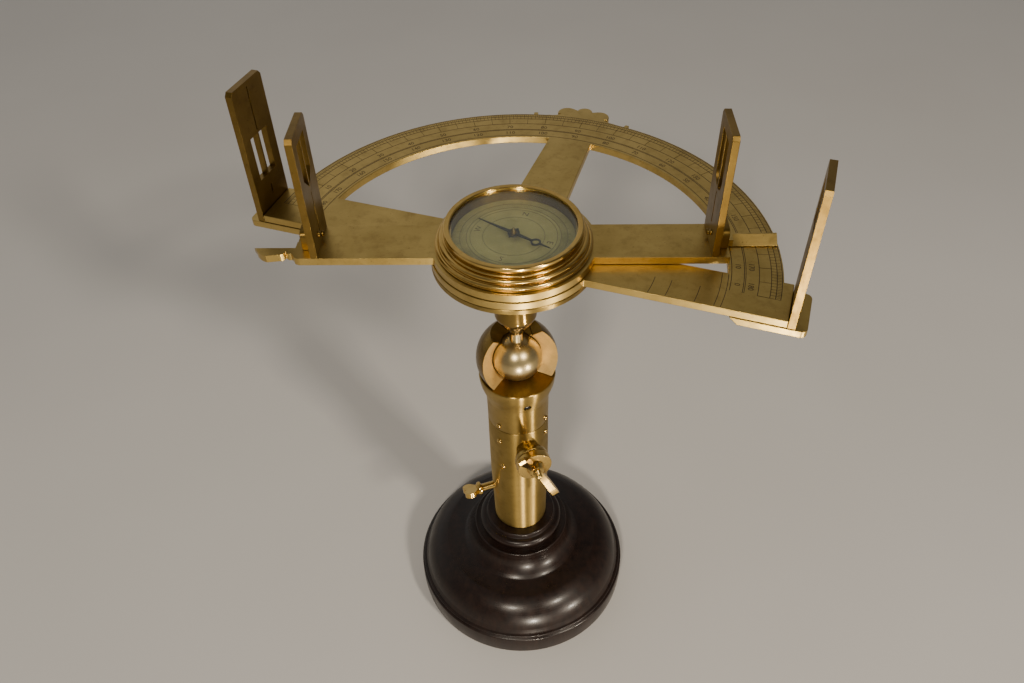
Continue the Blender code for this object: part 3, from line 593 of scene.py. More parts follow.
def numbers_mesh(name, labels, height, top, depth=0.08):
    """Stamped figures: labels are (text, x, y, turn in radians)."""
    form = bmesh.new()
    for text, x, y, turn in labels:
        letters = bpy.data.curves.new(name, "FONT")
        letters.body = text
        letters.size = height * 1.35 * MM
        letters.align_x = "CENTER"
        letters.align_y = "CENTER"
        letters.extrude = depth / 2 * MM
        letters.resolution_u = 3
        mesh = curve_to_mesh(name, letters)
        mesh.transform(pose((x, y, top - depth / 2), (0, 0, turn)))
        form.from_mesh(mesh)
        bpy.data.meshes.remove(mesh)
    bmesh.ops.remove_doubles(form, verts=form.verts, dist=WELD / 10)
    return to_mesh(form, name)


def along_circle(radius, start, end, width):
    """An engraved arc about the centre, as a stroke."""
    steps = max(2, int(abs(end - start) / 1.5))
    return arc(0, 0, radius, start, end, steps), width


def radial(angle, inner, outer, width):
    """An engraved radial line, as a stroke."""
    return [polar(inner, angle), polar(outer, angle)], width


# ---------------------------------------------------------------- foot

def build_foot():
    profile = [(0.0, 17.7), (9.3, 17.7), (9.3, FOOT_TOP), (20.4, FOOT_TOP)]
    profile += arc(20.6, FOOT_TOP - 1.0, 1.0, 90, 10, 5)
    profile += [(21.7, FOOT_TOP - 2.4), (22.3, FOOT_TOP - 3.1)]
    profile += arc(22.9, 57.2, 3.1, 78, -80, 14)
    profile += [(24.3, 53.7), (28.9, 53.4)]
    profile += arc(29.0, 52.7, 0.8, 80, -20, 5)
    profile += arc(47.0, 51.5, 16.8, 182, 238, 18)
    profile += arc(41.6, 15.2, 22.8, 72, 14, 22)
    profile += [(64.6, 19.3), (65.0, 18.2), (65.7, 17.9)]
    profile += arc(65.9, 17.1, 0.7, 80, -50, 5)
    profile += [(66.2, 16.1), (66.9, 15.7)]
    profile += arc(FOOT_RADIUS - 1.0, 14.6, 1.2, 70, 5, 4)
    profile += [(FOOT_RADIUS + 0.3, 8.0)]
    profile += arc(FOOT_RADIUS - 1.4, 1.5, 1.4, 0, -90, 5)
    profile += [(0.0, 0.0)]
    turned("turned_foot", profile, WOOD, "foot", ("wood_base",), steps=192)


# ---------------------------------------------------------------- socket

def sphere_mesh(radius):
    form = bmesh.new()
    bmesh.ops.create_uvsphere(form, u_segments=96, v_segments=64, radius=radius * MM)
    return to_mesh(form, "sphere")


def front_mesh():
    """The splayed room in front of the ball: a cone that leans up, above the ledge."""
    profile = [(0.0, 26.0), (39.2, 26.0), (11.2, -2.0), (0.0, -2.0)]
    cone = add_object("front", turned_mesh("front", profile, 180))
    cone.matrix_world = BALL @ pose(turn=(math.radians(75), 0, 0))
    cut(cone, box_mesh((120.0, 120.0, 60.0), (0, 0, LEDGE - 30.0)), SOCKET)
    mesh = cone.data
    mesh.transform(cone.matrix_world)
    bpy.data.objects.remove(cone, do_unlink=True)
    return mesh


def open_shell(piece):
    """Cut the ball's cup, the funnel round the stem and the splayed front."""
    cut(piece, sphere_mesh(CUP_RADIUS), BALL)
    funnel = [(0.0, FUNNEL[0][1])] + FUNNEL + [(0.0, FUNNEL[-1][1])]
    cut(piece, turned_mesh("funnel", funnel, 128), BALL)
    cut(piece, front_mesh(), WORLD)


def on_funnel(place):
    """Whether a place, from the ball's centre, is on the funnel round the stem."""
    radius = math.hypot(place.x, place.y)
    for (wide, top), (narrow, bottom) in zip(FUNNEL, FUNNEL[1:]):
        wall = narrow + (wide - narrow) * (place.z - bottom) / (top - bottom)
        if bottom <= place.z <= top and abs(radius - wall) < GAP:
            return True
    return False


def dress_shell(piece):
    """The cup, the ledge, the filed cheeks and the crown have looks of their own: the cup's lower part is
    near-black painted shade, and the ledge and the funnel are a darker brass.
    """
    for look in (FILED, LEDGE_BRASS, CUP_SHADE, CROWN):
        piece.data.materials.append(look.material)
    filed, dull, shaded_cup, crown = 1, 2, 3, 4
    for face in piece.data.polygons:
        place = face.center / MM - Vector((0, 0, BALL_CENTRE))
        height = face.center.z / MM
        if abs(height - LEDGE) < 0.05 and face.normal.z > 0.9:
            face.material_index = dull
        elif place.length < CUP_RADIUS + 0.1:
            # Painted shade: the cup's faces up to just above the ledge are near-black; the cup's upper part
            # gets the darker brass.
            face.material_index = shaded_cup if height < LEDGE + 3.0 else dull
        elif height > LEDGE and place.length < SHELL_RADIUS - 0.2:
            face.material_index = dull if on_funnel(place) else filed
        elif height > LEDGE:
            face.material_index = crown


def build_socket():
    tube = [(TUBE_BORE, TUBE_JOINT)] + arc(TUBE_RADIUS - 0.3, TUBE_JOINT - 0.3, 0.3, 90, 0, 3)
    tube += [(TUBE_RADIUS + 0.1, 143.0), (TUBE_RADIUS + 0.1, 110.0), (TUBE_RADIUS - 0.7, TUBE_FOOT + 14.0)]
    tube += arc(TUBE_RADIUS - 1.5, TUBE_FOOT + 0.6, 0.6, 0, -90, 3) + [(TUBE_BORE, TUBE_FOOT)]
    turned("polished_tube", tube, TUBE, "socket", ("socket_tube",), SOCKET)

    crown_start = math.degrees(math.acos(PAD_BORE / SHELL_RADIUS))
    crown_end = math.degrees(math.asin((LEDGE - BALL_CENTRE) / SHELL_RADIUS))
    profile = arc(0.0, BALL_CENTRE, SHELL_RADIUS, crown_start, crown_end, 40)
    profile += [(RIM_RADIUS - 0.5, LEDGE), (RIM_RADIUS - 0.1, LEDGE - 0.3)]
    profile += flowing([(RIM_RADIUS, LEDGE - 1.6), (RIM_RADIUS - 0.8, LEDGE - 7.0), (18.6, 180.2),
                        (17.75, 176.5)])
    profile += [(17.55, 176.3), (17.45, 175.6), (TUBE_RADIUS + 0.1, 168.0)]
    profile += arc(TUBE_RADIUS - 0.3, TUBE_JOINT + GAP + 0.3, 0.3, 0, -90, 3)
    profile += [(PAD_BORE, TUBE_JOINT + GAP)]
    head = turned("socket_shell", profile, SHELL, "socket", ("socket_head",), SOCKET)
    jaw_room = box_mesh((40.0, 60.0, 50.0), (THROAT + 20.0 - GAP, -18.0 + GAP, JAW_SEAM + 25.0 - GAP))
    cut(head, jaw_room, SOCKET)
    open_shell(head)
    recess = [(0.0, 26.0), (2.3, 26.0), (2.3, TUBE_RADIUS), (0.0, TUBE_RADIUS)]
    cut(head, turned_mesh("recess", recess, 32), SOCKET @ pose((0, 0, PAD_SCREW_HEIGHT), (QUARTER, 0, 0)))

    jaw_profile = [(0.0, BALL_CENTRE + SHELL_RADIUS)] + arc(0.0, BALL_CENTRE, SHELL_RADIUS, 86, -34, 40)
    jaw_profile += [(0.0, BALL_CENTRE + SHELL_RADIUS * math.sin(math.radians(-34)))]
    jaw = turned("clamping_jaw", jaw_profile, SHELL, "jaw", ("ball_jaw",), SOCKET)
    cut(jaw, box_mesh((40.0, 60.0, 50.0), (THROAT + 20.0, -18.0, JAW_SEAM + 25.0)), SOCKET, "INTERSECT")
    open_shell(jaw)
    for piece in (head, jaw):
        dress_shell(piece)
        eased(piece, 0.25)


def screw_head(name, seat, radius, length, look, body, replaces, place, slot_turn):
    """A domed screw with a sawn slot; its head stands on the seat."""
    rise = 0.75 * radius
    profile = [(0.0, seat + rise), (0.45 * radius, seat + 0.93 * rise), (0.8 * radius, seat + 0.66 * rise),
               (0.97 * radius, seat + 0.3 * rise), (radius, seat), (0.5 * radius, seat),
               (0.5 * radius, seat - length), (0.0, seat - length)]
    made = turned(name, profile, look, body, replaces, place, 32)
    slot = box_mesh((3.0 * radius, 0.32 * radius, 0.9 * rise), (0, 0, seat + rise))
    cut(made, slot, place @ pose(turn=(0, 0, slot_turn)))
    return made


def build_joint_screws():
    seats = {"joint_screw_left_upper": (161.0, -128.0), "joint_screw_left_lower": (148.0, -128.0),
             "joint_screw_right_upper": (161.0, -25.0), "joint_screw_right_lower": (149.0, -25.0),
             "tube_side_screw": (126.0, -122.0)}
    for index, (node, (height, azimuth)) in enumerate(seats.items()):
        place = pose((0, 0, height), (QUARTER, 0, math.radians(azimuth) + QUARTER))
        screw_head(node + "_head", TUBE_RADIUS + 0.1, 1.6, 2.6, POLISHED, "socket", (node,), place,
                   0.7 * index)
    place = SOCKET @ pose((0, 0, PAD_SCREW_HEIGHT), (QUARTER, 0, 0))
    screw_head("pad_screw_head", TUBE_RADIUS + 0.1, 1.9, 9.4, STEEL, "socket", ("pad_screw",), place, 0.4)


def build_clamp():
    bore = STUD_RADIUS + GAP
    boss = [(bore, 26.4), (8.9, 26.4)] + arc(9.1, 25.9, 0.5, 80, 0, 3)
    boss += flowing([(9.6, 25.4), (9.3, 23.6), (8.2, 21.4), (7.0, 19.0), (6.3, 16.4), (5.8, 13.8)])
    boss += [(bore, 13.8)]
    made = turned("flared_boss", boss, CLAMP_BRASS, "socket", ("clamp_boss",), CLAMP, 64)
    reach, wall = 30.0, TUBE_RADIUS + 0.15
    room = turned_mesh("room", [(0.0, reach), (wall, reach), (wall, -reach), (0.0, -reach)], 128)
    cut(made, room, SOCKET @ pose((0, 0, CLAMP_HEIGHT)))

    washer = [(bore, 31.6)] + arc(9.5, 31.3, 0.3, 90, 0, 3)
    washer += arc(9.3, 27.3, 0.5, 0, -90, 4) + [(bore, 26.8)]
    turned("bevelled_washer", washer, SATIN_DISC, "socket", ("clamp_washer",), CLAMP, 96)

    stud = [(0.0, 39.9), (1.0, 39.8), (1.6, 39.4), (1.9, 38.9)]
    thread_top, pitch = 38.6, 0.75
    for turn in range(9):
        base = thread_top - pitch * turn
        stud += [(2.0, base), (2.0, base - 0.2), (1.65, base - 0.4)]
    stud += [(2.0, 31.8), (STUD_RADIUS, 31.5), (STUD_RADIUS, 11.3), (5.0, 11.3), (5.0, 9.0), (0.0, 9.0)]
    turned("threaded_stud", stud, CLAMP_BRASS, "socket", ("clamp_stud",), CLAMP, 48)

    hub = [(2.3, 35.6), (3.5, 35.6), (4.1, 35.1), (4.3, 34.2), (4.6, 33.0), (5.0, 32.3), (4.8, 31.9),
           (2.3, 31.9)]
    nut = turned("wing_nut_hub", hub, POLISHED, "wing", ("wing_nut",), WING, 48)
    outline = [(3.2, 32.3), (9.0, 32.5), (14.6, 34.1), (19.4, 36.2), (21.6, 38.2), (21.4, 39.8),
               (19.8, 40.4), (16.0, 39.4), (10.6, 37.0), (3.2, 35.2)]
    for side in (0.0, math.pi):
        wing = flat_mesh("wing", [outline], -1.9, 1.9)
        cut(nut, wing, WING @ pose(turn=(QUARTER, 0, side)), "UNION")
    eased(nut, 0.4)


def build_thumb_screw():
    profile = [(0.0, 28.2), (2.8, 28.0), (4.0, 27.2), (4.3, 26.2), (4.1, 25.4), (2.9, 24.9)]
    profile += [(THUMB_RADIUS, 24.4), (THUMB_RADIUS, 13.9), (1.5, 13.0), (0.0, 13.0)]
    screw = turned("thumb_screw_shank", profile, POLISHED, "thumb", ("thumb_screw",), THUMB, 48)
    lobes = arc(3.0, 32.6, 3.5, -62, 150, 14) + [(0.0, 34.4)] + arc(-3.0, 32.6, 3.5, 30, 242, 14)
    lobes += [(-2.4, 27.2), (2.4, 27.2)]
    grip = flat_mesh("grip", [lobes], -1.5, 1.5)
    cut(screw, grip, THUMB @ pose(turn=(QUARTER, 0, math.radians(25))), "UNION")
    eased(screw, 0.35)


def build_ball():
    neck_angle = math.degrees(math.acos(3.2 / BALL_RADIUS))
    stem = [(0.0, 57.0), (2.4, 57.0), (3.0, 56.4), (3.0, 18.8), (3.2, 18.8)]
    stem += arc(0.0, 0.0, BALL_RADIUS, neck_angle - 1.5, -90, 60)
    turned("polished_ball", stem, BALL_BRASS, "ball", ("ball_stem",), BALL)
    trumpet = [(0.0, 61.0), (4.3, 61.0), (4.3, 66.3), (14.0, 66.3)] + arc(13.4, 64.2, 0.6, 0, -70, 4)
    trumpet += arc(13.6, 56.0, 4.6, 110, 180, 8) + [(8.8, 50.0)]
    trumpet += flowing([(9.4, 40.0), (10.6, 34.0), (10.9, 31.6), (9.9, 28.9), (8.4, 26.4), (6.3, 23.5),
                        (4.8, 21.2), (4.0, 19.1)])
    trumpet += [(3.3, 19.1), (3.3, 58.0), (0.0, 58.0)]
    turned("flared_neck", trumpet, TRUMPET, "plate", ("stem_trumpet",), BALL, 96)


# ---------------------------------------------------------------- head

def limb_peg(middle):
    """A small square peg on the limb's outer edge, at this angle in degrees."""
    tip = LIMB_OUTER + 2.4
    corners = ((LIMB_OUTER, -0.6), (tip, -0.5), (tip, 0.5), (LIMB_OUTER, 0.6))
    return [polar(radius, middle + step) for radius, step in corners]


def fleuron():
    """Three lobes that rise from the limb's outer edge in a soft sweep, right to left."""
    right = arc(18.9, 132.4, 8.0, -90, -140, 8) + arc(9.4, 129.4, 5.6, -20, 118, 14)
    points = right + arc(0.0, 132.6, 4.4, 10, 170, 14) + [(-x, y) for x, y in reversed(right)]
    along, across = polar(1.0, SPOKE_TURN)
    return [(x * along - y * across, x * across + y * along) for x, y in points]


def plate_outline():
    edge = math.degrees(math.asin(ARM_HALF / LIMB_OUTER))
    tip = FIXED_SIGHT - GAP
    middle = 90 + SPOKE_TURN
    points = [(tip, -ARM_HALF - 0.05), (tip, ARM_HALF)]
    points += arc(0, 0, LIMB_OUTER, edge, middle - LIMB_PEG_ANGLE - 1, 90)
    points += limb_peg(middle - LIMB_PEG_ANGLE)
    points += arc(0, 0, LIMB_OUTER, middle - LIMB_PEG_ANGLE + 1, middle - FLEURON_ANGLE, 3)
    points += fleuron()
    points += arc(0, 0, LIMB_OUTER, middle + FLEURON_ANGLE, middle + LIMB_PEG_ANGLE - 1, 3)
    points += limb_peg(middle + LIMB_PEG_ANGLE)
    points += arc(0, 0, LIMB_OUTER, middle + LIMB_PEG_ANGLE + 1, 180 - edge, 90)
    points += [(-tip, ARM_HALF), (-tip, -ARM_HALF - 0.05)]
    corner = math.degrees(math.asin(ARM_HALF / BOSS_RADIUS))
    points += arc(0, 0, BOSS_RADIUS, 180 + corner, 360 - corner, 80)
    return points


def plate_window(side):
    lean = side * SPOKE_TURN
    start = math.degrees(math.asin(ARM_FAR / LIMB_INNER))
    end = math.degrees(math.acos(SPOKE_HALF_OUT / LIMB_INNER)) + lean
    inner_end = math.degrees(math.acos(SPOKE_HALF_IN / BOSS_RADIUS)) + lean
    inner_start = math.degrees(math.asin(ARM_FAR / BOSS_RADIUS))
    points = arc(0, 0, LIMB_INNER, start, end, 70) + arc(0, 0, BOSS_RADIUS, inner_end, inner_start, 24)
    return mirrored(points, side)


RING_LINES = (102.0, 107.7, 114.4, 119.8, 122.3, 124.6)
ARM_ARCS = (68.5, 76.3, 89.2, 97.8, 100.7)


def build_plate():
    level = pose((0, 0, PLATE_TOP))
    plate = flat("semicircle", [plate_outline(), plate_window(1), plate_window(-1), circle(0, 0, 4.3, 24)],
                 -PLATE_THICK, 0.0, LIMB, "plate", ("graduated_plate",), level, 0.35)
    plate.data.transform(HEAD)
    strokes = [along_circle(radius, 0, 180, 0.34) for radius in RING_LINES]
    strokes.append(along_circle(RING_LINES[1] + 0.7, 0, 180, 0.3))
    for degree in range(0, 181):
        outer = RING_LINES[3] if degree % 5 else RING_LINES[2]
        strokes.append(radial(degree, outer, RING_LINES[5], 0.2))
        if degree % 10 == 0:
            strokes.append(radial(degree, RING_LINES[2], RING_LINES[3], 0.24))
        if degree < 180:
            strokes.append(radial(degree + 0.5, RING_LINES[4], RING_LINES[5], 0.16))
    for radius in ARM_ARCS:
        bottom = -math.degrees(math.asin((ARM_HALF - 0.6) / radius))
        top = math.degrees(math.asin(min(11.0, radius) / radius)) if radius > 90 else -0.6
        strokes.append(along_circle(radius, bottom, top, 0.32))
    mesh = strokes_mesh("limb_scale", strokes, 0.03)
    mesh.transform(HEAD)
    finish("limb_scale", mesh, FILL, "plate", (), level)
    labels = []
    for degree in range(0, 181, 10):
        shown = min(177.2, max(2.8, degree))
        for radius, number in ((110.9, 180 - degree), (104.8, degree)):
            labels.append((str(number), *polar(radius, shown), math.radians(shown) - QUARTER))
    mesh = numbers_mesh("limb_numbers", labels, 2.7, 0.03)
    mesh.transform(HEAD)
    finish("limb_numbers", mesh, FILL, "plate", (), level)

    boss_top = END_PLATE_TOP - PLATE_TOP
    boss_bottom = BOSS_BOTTOM - PLATE_TOP
    profile = [(4.3, boss_top), (BOSS_RADIUS - 0.2, boss_top), (BOSS_RADIUS, boss_top - 0.2)]
    profile += arc(BOSS_RADIUS - 0.5, boss_bottom + 0.5, 0.5, 0, -90, 5) + [(4.3, boss_bottom)]
    turned("boss_disc", profile, TUBE, "plate", ("centre_boss",), PLATE, 192)


def build_end_plates():
    top = END_PLATE_TOP - PLATE_TOP
    half = ARM_HALF + 0.3
    start, tip, corner = 104.4, 138.2, 3.0
    seat = top - END_PLATE_THICK
    rows = (("ledge_screw", "end_plate_screw", 114.0, 7.5, 2.1, 6.0, 0.5),
            ("foot_screw", "sight_foot_screw", FIXED_SIGHT + SIGHT_THICK / 2, 6.0, 1.6, 7.0, 1.1))
    for side, tag in ((1, "right"), (-1, "left")):
        outline = [(start, -half)] + arc(tip - corner, -half + corner, corner, -90, 0, 8)
        outline += arc(tip - corner, half - corner, corner, 0, 90, 8) + [(start, half)]
        made = flat("sight_ledge_" + tag, [mirrored(outline, side)], seat, top, SATIN, "plate",
                    ("end_plate_" + tag,), PLATE, 0.0)
        for vertex in made.data.vertices:
            if abs(vertex.co.x) < (start + 0.1) * MM and vertex.co.z < (top - 1.0) * MM:
                vertex.co.x += side * 4.0 * MM
        eased(made, 0.3)
        for index, row in ((index, row) for index in (1, 2) for row in rows):
            name, node, reach, spacing, radius, length, slot_turn = row
            place = PLATE @ pose((side * reach, spacing * (2 * index - 3), seat - 0.05), (math.pi, 0, 0))
            screw_head(f"{name}_{tag}_{index}", 0.0, radius, length, STEEL, "plate",
                       (f"{node}_{tag}_{index}",), place, slot_turn * index)


# ---------------------------------------------------------------- sights

def sight_edge(half, bottom, top):
    """The sight's outline seen along the arm, with its upper corners cut off."""
    return [(-half, bottom), (half, bottom), (half, top - 1.9), (half - 1.5, top), (-half + 1.5, top),
            (-half, top - 1.9)]


def window_half(side, bottom, top, ending):
    """Half of a sighting window beside its narrow bar; ending shapes the lower end."""
    inner, outer = 0.45, 6.9
    if ending == "round":
        lower = arc(0.45, bottom + 6.4, 6.45, -88, -2, 10)
    elif ending == "pointed":
        lower = [(inner, bottom - 2.6), (outer, bottom + 4.0)]
    else:
        lower = [(inner, bottom), (outer, bottom)]
    return mirrored(lower + [(outer, top), (inner, top)], side)


def slit(bottom, top, half=0.4):
    return [(-half, bottom), (half, bottom), (half, top), (-half, top)]


def build_sight(name, node, body, side, inner_face, foot, place, window, slits):
    height = SIGHT_TOP - PLATE_TOP
    outlines = [sight_edge(ARM_HALF - 0.2, foot, height)]
    outlines += [window_half(1, *window), window_half(-1, *window)]
    outlines += [slit(*span) for span in slits]
    start = inner_face if side > 0 else -inner_face - SIGHT_THICK
    return flat(name, outlines, start, start + SIGHT_THICK, SIGHTS, body, (node,), place @ ACROSS, 0.25)


def build_sights():
    ledge = END_PLATE_TOP - PLATE_TOP
    build_sight("tall_sight_left", "fixed_sight_left", "plate", -1, FIXED_SIGHT, ledge + 0.05, PLATE,
                (17.0, 40.0, "square"), [(41.4, 64.0), (5.5, 11.0)])
    build_sight("tall_sight_right", "fixed_sight_right", "plate", 1, FIXED_SIGHT, ledge + 0.05, PLATE,
                (41.0, 62.0, "square"), [(14.0, 39.4)])
    rule_top = ALIDADE_TOP - PLATE_TOP
    foot = rule_top + 0.05
    build_sight("rule_sight_left", "alidade_sight_left", "alidade", -1, ALIDADE_SIGHT, foot, ALIDADE,
                (38.5, 60.5, "pointed"), [(9.6, 33.0)])
    build_sight("rule_sight_right", "alidade_sight_right", "alidade", 1, ALIDADE_SIGHT, foot, ALIDADE,
                (34.0, 60.5, "round"), [(15.0, 31.5)])
    for side, tag in ((1, "right"), (-1, "left")):
        start = side * (ALIDADE_SIGHT + SIGHT_THICK + 0.05)
        end = start + side * 4.8
        block = [(-6.6, foot), (6.6, foot), (6.6, foot + 7.0)] + arc(3.6, foot + 7.0, 3.0, 0, 90, 6)
        block += arc(-3.6, foot + 7.0, 3.0, 90, 180, 6)
        flat("foot_block_" + tag, [block], min(start, end), max(start, end), SIGHTS, "alidade",
             ("sight_block_" + tag,), ALIDADE @ ACROSS, 0.3)
        for index, (y, z) in enumerate(((2.8, foot + 2.9), (-2.8, foot + 6.9))):
            place = ALIDADE @ pose((0, y, z), (0, -side * QUARTER, 0))
            node = f"sight_screw_{tag}_{index + 1}"
            screw_head(node + "_head", -ALIDADE_SIGHT + 0.05, 1.5, 6.5, SIGHTS, "alidade", (node,), place,
                       0.9 * index)


# ---------------------------------------------------------------- alidade

def alidade_outline():
    meet = math.degrees(math.asin(ALIDADE_HALF / RING_RADIUS))
    half = ALIDADE_HALF
    points = [(100.0, -half), (100.0, 0.0), (TONGUE_END, 0.0), (TONGUE_END, 5.6), (103.0, 5.6),
              (103.0, half)]
    points += arc(0, 0, RING_RADIUS, meet, 180 - meet, 80)
    points += [(-103.0, half), (-103.0, 0.0), (-TONGUE_END, 0.0), (-124.0, -2.4)]
    points += arc(-113.6, -1.8, 9.2, 200, 252, 8)
    points += arc(-110.4, -7.2, 2.6, 262, 350, 6)
    points += arc(-105.6, -6.8, 2.2, 200, 290, 5)
    points += [(-103.6, -10.2), (-102.8, -11.9), (-101.0, -half), (-100.0, -half)]
    points += arc(0, 0, RING_RADIUS, 180 + meet, 360 - meet, 80)
    return points


def build_alidade():
    base, top = ALIDADE_BASE - PLATE_TOP, ALIDADE_TOP - PLATE_TOP
    rule = flat("turning_rule", [alidade_outline(), circle(0, 0, RING_BORE, 96)], base, top, SATIN,
                "alidade", ("alidade_rule",), ALIDADE, 0.0)
    reach, beyond, edge = 4.6, 1.0, base + 0.35
    drop = beyond * (top - edge) / reach
    for side in (1, -1):
        wedge = [(-side * beyond, edge - drop), (side * reach, top), (side * reach, top + beyond),
                 (-side * beyond, top + beyond)]
        start, end = sorted((side * 103.4, side * (TONGUE_END + beyond)))
        cut(rule, flat_mesh("bevel", [wedge], start, end), ALIDADE @ ACROSS)
    eased(rule, 0.25)


# ---------------------------------------------------------------- compass

def build_compass():
    outside = [(29.4, 287.5), (32.7, 287.5), (32.6, 286.9)]
    outside += arc(33.0, 286.3, 0.7, 80, -60, 8) + [(33.9, 285.6)]
    outside += arc(34.2, 284.3, 1.35, 70, -50, 12) + [(35.6, 283.0)]
    outside += arc(36.2, 282.0, 1.2, 90, -20, 10) + [(37.6, 281.5), (37.6, 281.0)]
    hub = [(30.0, 281.0), (30.0, 276.8), (4.3, 276.8), (4.3, 281.4), (0.0, 281.4)]
    turned("moulded_box", [(0.0, 282.2), (29.4, 282.2)] + outside + hub, BOX_BRASS, "plate",
           ("compass_box",), HEAD, 192)

    grooves = (14.7, 20.7, 22.4, 25.6)
    profile = [(0.0, DIAL_TOP)]
    for radius in grooves:
        profile += [(radius - 0.14, DIAL_TOP), (radius, DIAL_TOP - 0.16), (radius + 0.14, DIAL_TOP)]
    profile += [(29.2, DIAL_TOP), (29.2, DIAL_TOP - 0.5), (0.0, DIAL_TOP - 0.5)]
    turned("dial_plate", profile, DIAL, "plate", ("compass_dial",), HEAD, 192)
    strokes = [(arc(0, 0, radius, 0, 359, 120) + [(radius, 0)], 0.17) for radius in grooves]
    for degree in range(0, 360, 2):
        outer = 25.4 if degree % 10 else 27.2
        strokes.append(radial(degree, grooves[2], outer, 0.12))
    dial = HEAD @ pose((0, 0, DIAL_TOP))
    finish("dial_scale", strokes_mesh("dial_scale", strokes, 0.03), FILL, "plate", (), dial)
    quarters = (("N", 90), ("E", 0), ("S", 270), ("W", 180))
    labels = [(letter, *polar(17.8, angle), math.radians(angle) - QUARTER) for letter, angle in quarters]
    finish("dial_letters", numbers_mesh("dial_letters", labels, 3.2, 0.03), FILL, "plate", (), dial)

    pivot = [(0.0, 286.7), (0.25, 286.2), (0.7, 284.2), (1.2, 283.3), (1.5, 283.0), (0.0, 283.0)]
    turned("pivot_pin", pivot, STEEL, "plate", ("compass_pivot",), HEAD, 32)

    disc = [(0.0, 289.3), (30.8, 289.3), (31.0, 289.1), (31.0, 287.9), (0.0, 287.9)]
    glass = turned("glass_disc", disc, GLASS, "plate", ("compass_glass",), HEAD, 192)
    glass.visible_shadow = False
    bezel = arc(30.7, 290.0, 0.6, 180, 90, 5) + [(32.2, 290.65)] + arc(32.2, 289.9, 0.8, 85, 5, 6)
    bezel += [(33.0, 288.2), (32.8, 287.8), (31.4, 287.8), (31.4, 289.6), (30.1, 289.6)]
    turned("glass_bezel", bezel, POLISHED, "plate", ("compass_bezel",), HEAD, 192)


def build_needle():
    half, ring_at, ring_out, hub_out = 21.0, 12.6, 2.5, 2.9
    meet = math.degrees(math.asin(0.55 / ring_out))
    hub_meet = math.degrees(math.asin(0.9 / hub_out))
    side = arc(0, 0, hub_out, 180 - hub_meet, 112, 8) + [(0.0, 4.1)] + arc(0, 0, hub_out, 68, hub_meet, 8)
    side += arc(ring_at, 0, ring_out, 180 - meet, meet, 20)
    upper = [(-half, 0.0)] + side + [(half, 0.0)]
    below = [(x, -y) for x, y in reversed(side)]
    flat("needle_blade", [upper + below, circle(0, 0, 1.9, 24), circle(ring_at, 0, 1.6, 24)], -0.3, 0.3,
         NEEDLE_STEEL, "needle", ("compass_needle",), NEEDLE, 0.08)
    turned("needle_cap_cone", [(0.0, 3.1), (0.4, 2.9), (1.2, 1.2), (1.75, -0.1), (1.2, -0.2), (0.0, 2.4)],
           POLISHED, "needle", ("needle_cap",), NEEDLE, 32)


def dress_hidden_nodes():
    """The CAD pieces that stay as they are get the same materials."""
    looks = {"swivel_peg": WOOD, "ball_pad": TUBE, "centre_stud": STEEL}
    for node, look in looks.items():
        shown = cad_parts[node]
        shown.data.materials.clear()
        shown.data.materials.append(look.material)


# ---------------------------------------------------------------- stage

def build_stage():
    floor = Look("pale_floor", "", 0.0, 0.55)
    cloud = floor.noise(floor.place, 2.5)
    floor.colour(floor.mix(floor.spread(cloud, 0.0, 1.0), (0.60, 0.585, 0.565), (0.64, 0.63, 0.61)))
    form = bmesh.new()
    bmesh.ops.create_grid(form, x_segments=1, y_segments=1, size=3.0)
    finish("floor", to_mesh(form, "floor"), floor, "", (), WORLD)


def lamp(name, azimuth, elevation, distance, size, power, receivers=None, aim=(0.0, 0.0, 0.2)):
    """A warm, square soft lamp that looks at a place on the instrument, in metres."""
    light = bpy.data.lights.new(name, "AREA")
    light.size = size
    light.energy = power
    light.color = (1.0, 0.88, 0.72)
    made = add_object(name, light)
    made.visible_camera = False
    made.light_linking.receiver_collection = receivers
    turn, rise = math.radians(azimuth), math.radians(elevation)
    outward = Vector((math.cos(turn) * math.cos(rise), math.sin(turn) * math.cos(rise), math.sin(rise)))
    made.location = Vector(aim) + outward * distance
    made.rotation_euler = outward.to_track_quat("Z", "Y").to_euler()


def build_lights():
    """Two keys, and two small low lamps for the streaks on the tube, which spare the floor."""
    lamp("key_left", -100.0, 38.0, 1.5, 0.16, 11.0)
    lamp("key_right", -48.0, 36.0, 1.5, 0.16, 12.0)
    spared = bpy.data.collections.new("not_lit_from_below")
    spared.objects.link(bpy.data.objects["floor"])
    spared.collection_objects[0].light_linking.link_state = "EXCLUDE"
    lamp("low_left", -79.0, -24.0, 0.42, 0.03, 1.1, spared)
    lamp("low_right", -43.0, -20.0, 0.42, 0.03, 0.9, spared)


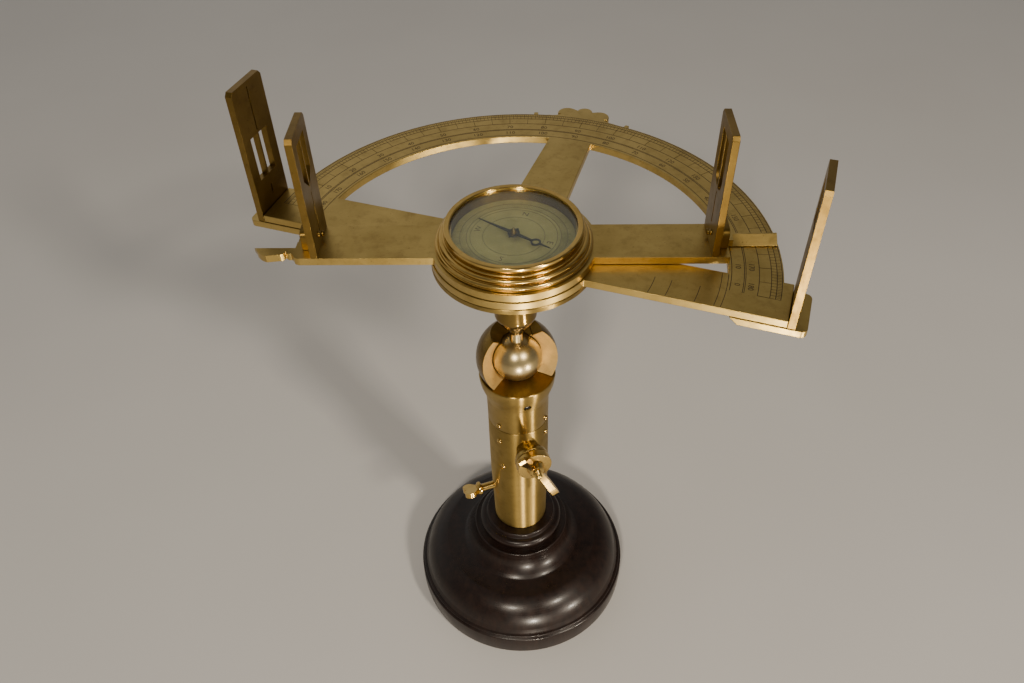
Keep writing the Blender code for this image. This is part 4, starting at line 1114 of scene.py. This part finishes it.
def build_world():
    """A dim studio: pale towards the horizon, dark overhead, with a soft bright side at the back left."""
    world = bpy.data.worlds.new("studio")
    bpy.context.scene.world = world
    world.use_nodes = True
    tree = world.node_tree
    direction = tree.nodes.new("ShaderNodeTexCoord").outputs["Generated"]
    parts = tree.nodes.new("ShaderNodeSeparateXYZ")
    tree.links.new(direction, parts.inputs[0])
    toward = tree.nodes.new("ShaderNodeVectorMath")
    toward.operation = "DOT_PRODUCT"
    toward.inputs[1].default_value = Vector((-0.55, 0.65, 0.52)).normalized()
    tree.links.new(direction, toward.inputs[0])
    total = tree.nodes.new("ShaderNodeMath")
    total.operation = "ADD"
    spans = ((parts.outputs[2], 0.0, 0.8, 0.24, 0.09), (toward.outputs["Value"], 0.25, 1.0, 0.0, 0.38))
    for socket, (source, start, end, first, last) in zip(total.inputs, spans):
        fade = tree.nodes.new("ShaderNodeMapRange")
        fade.interpolation_type = "SMOOTHSTEP"
        tree.links.new(source, fade.inputs["Value"])
        for name, value in (("From Min", start), ("From Max", end), ("To Min", first), ("To Max", last)):
            fade.inputs[name].default_value = value
        tree.links.new(fade.outputs[0], socket)
    background = tree.nodes["Background"]
    background.inputs["Color"].default_value = (1.0, 0.96, 0.90, 1.0)
    tree.links.new(total.outputs[0], background.inputs["Strength"])


def build_camera():
    camera = bpy.data.cameras.new("camera")
    camera.sensor_width = 36.0
    camera.lens = 30.345
    camera.clip_start = 0.01
    made = add_object("camera", camera)
    place = (0.0110, -0.3258, 0.5326)
    yaw, pitch, roll = math.radians(-2.34), math.radians(44.34), math.radians(-1.71)
    ahead = Vector((math.sin(yaw) * math.cos(pitch), math.cos(yaw) * math.cos(pitch), -math.sin(pitch)))
    right = ahead.cross(Vector((0, 0, 1))).normalized()
    above = right.cross(ahead)
    tilted_right = right * math.cos(roll) + above * math.sin(roll)
    tilted_up = above * math.cos(roll) - right * math.sin(roll)
    turn = Matrix((tilted_right, tilted_up, -ahead)).transposed()
    made.matrix_world = Matrix.Translation(place) @ turn.to_4x4()
    bpy.context.scene.camera = made


build_camera()
build_stage()
build_lights()
build_world()
build_foot()
build_socket()
build_joint_screws()
build_clamp()
build_thumb_screw()
build_ball()
build_plate()
build_end_plates()
build_sights()
build_alidade()
build_compass()
build_needle()
dress_hidden_nodes()
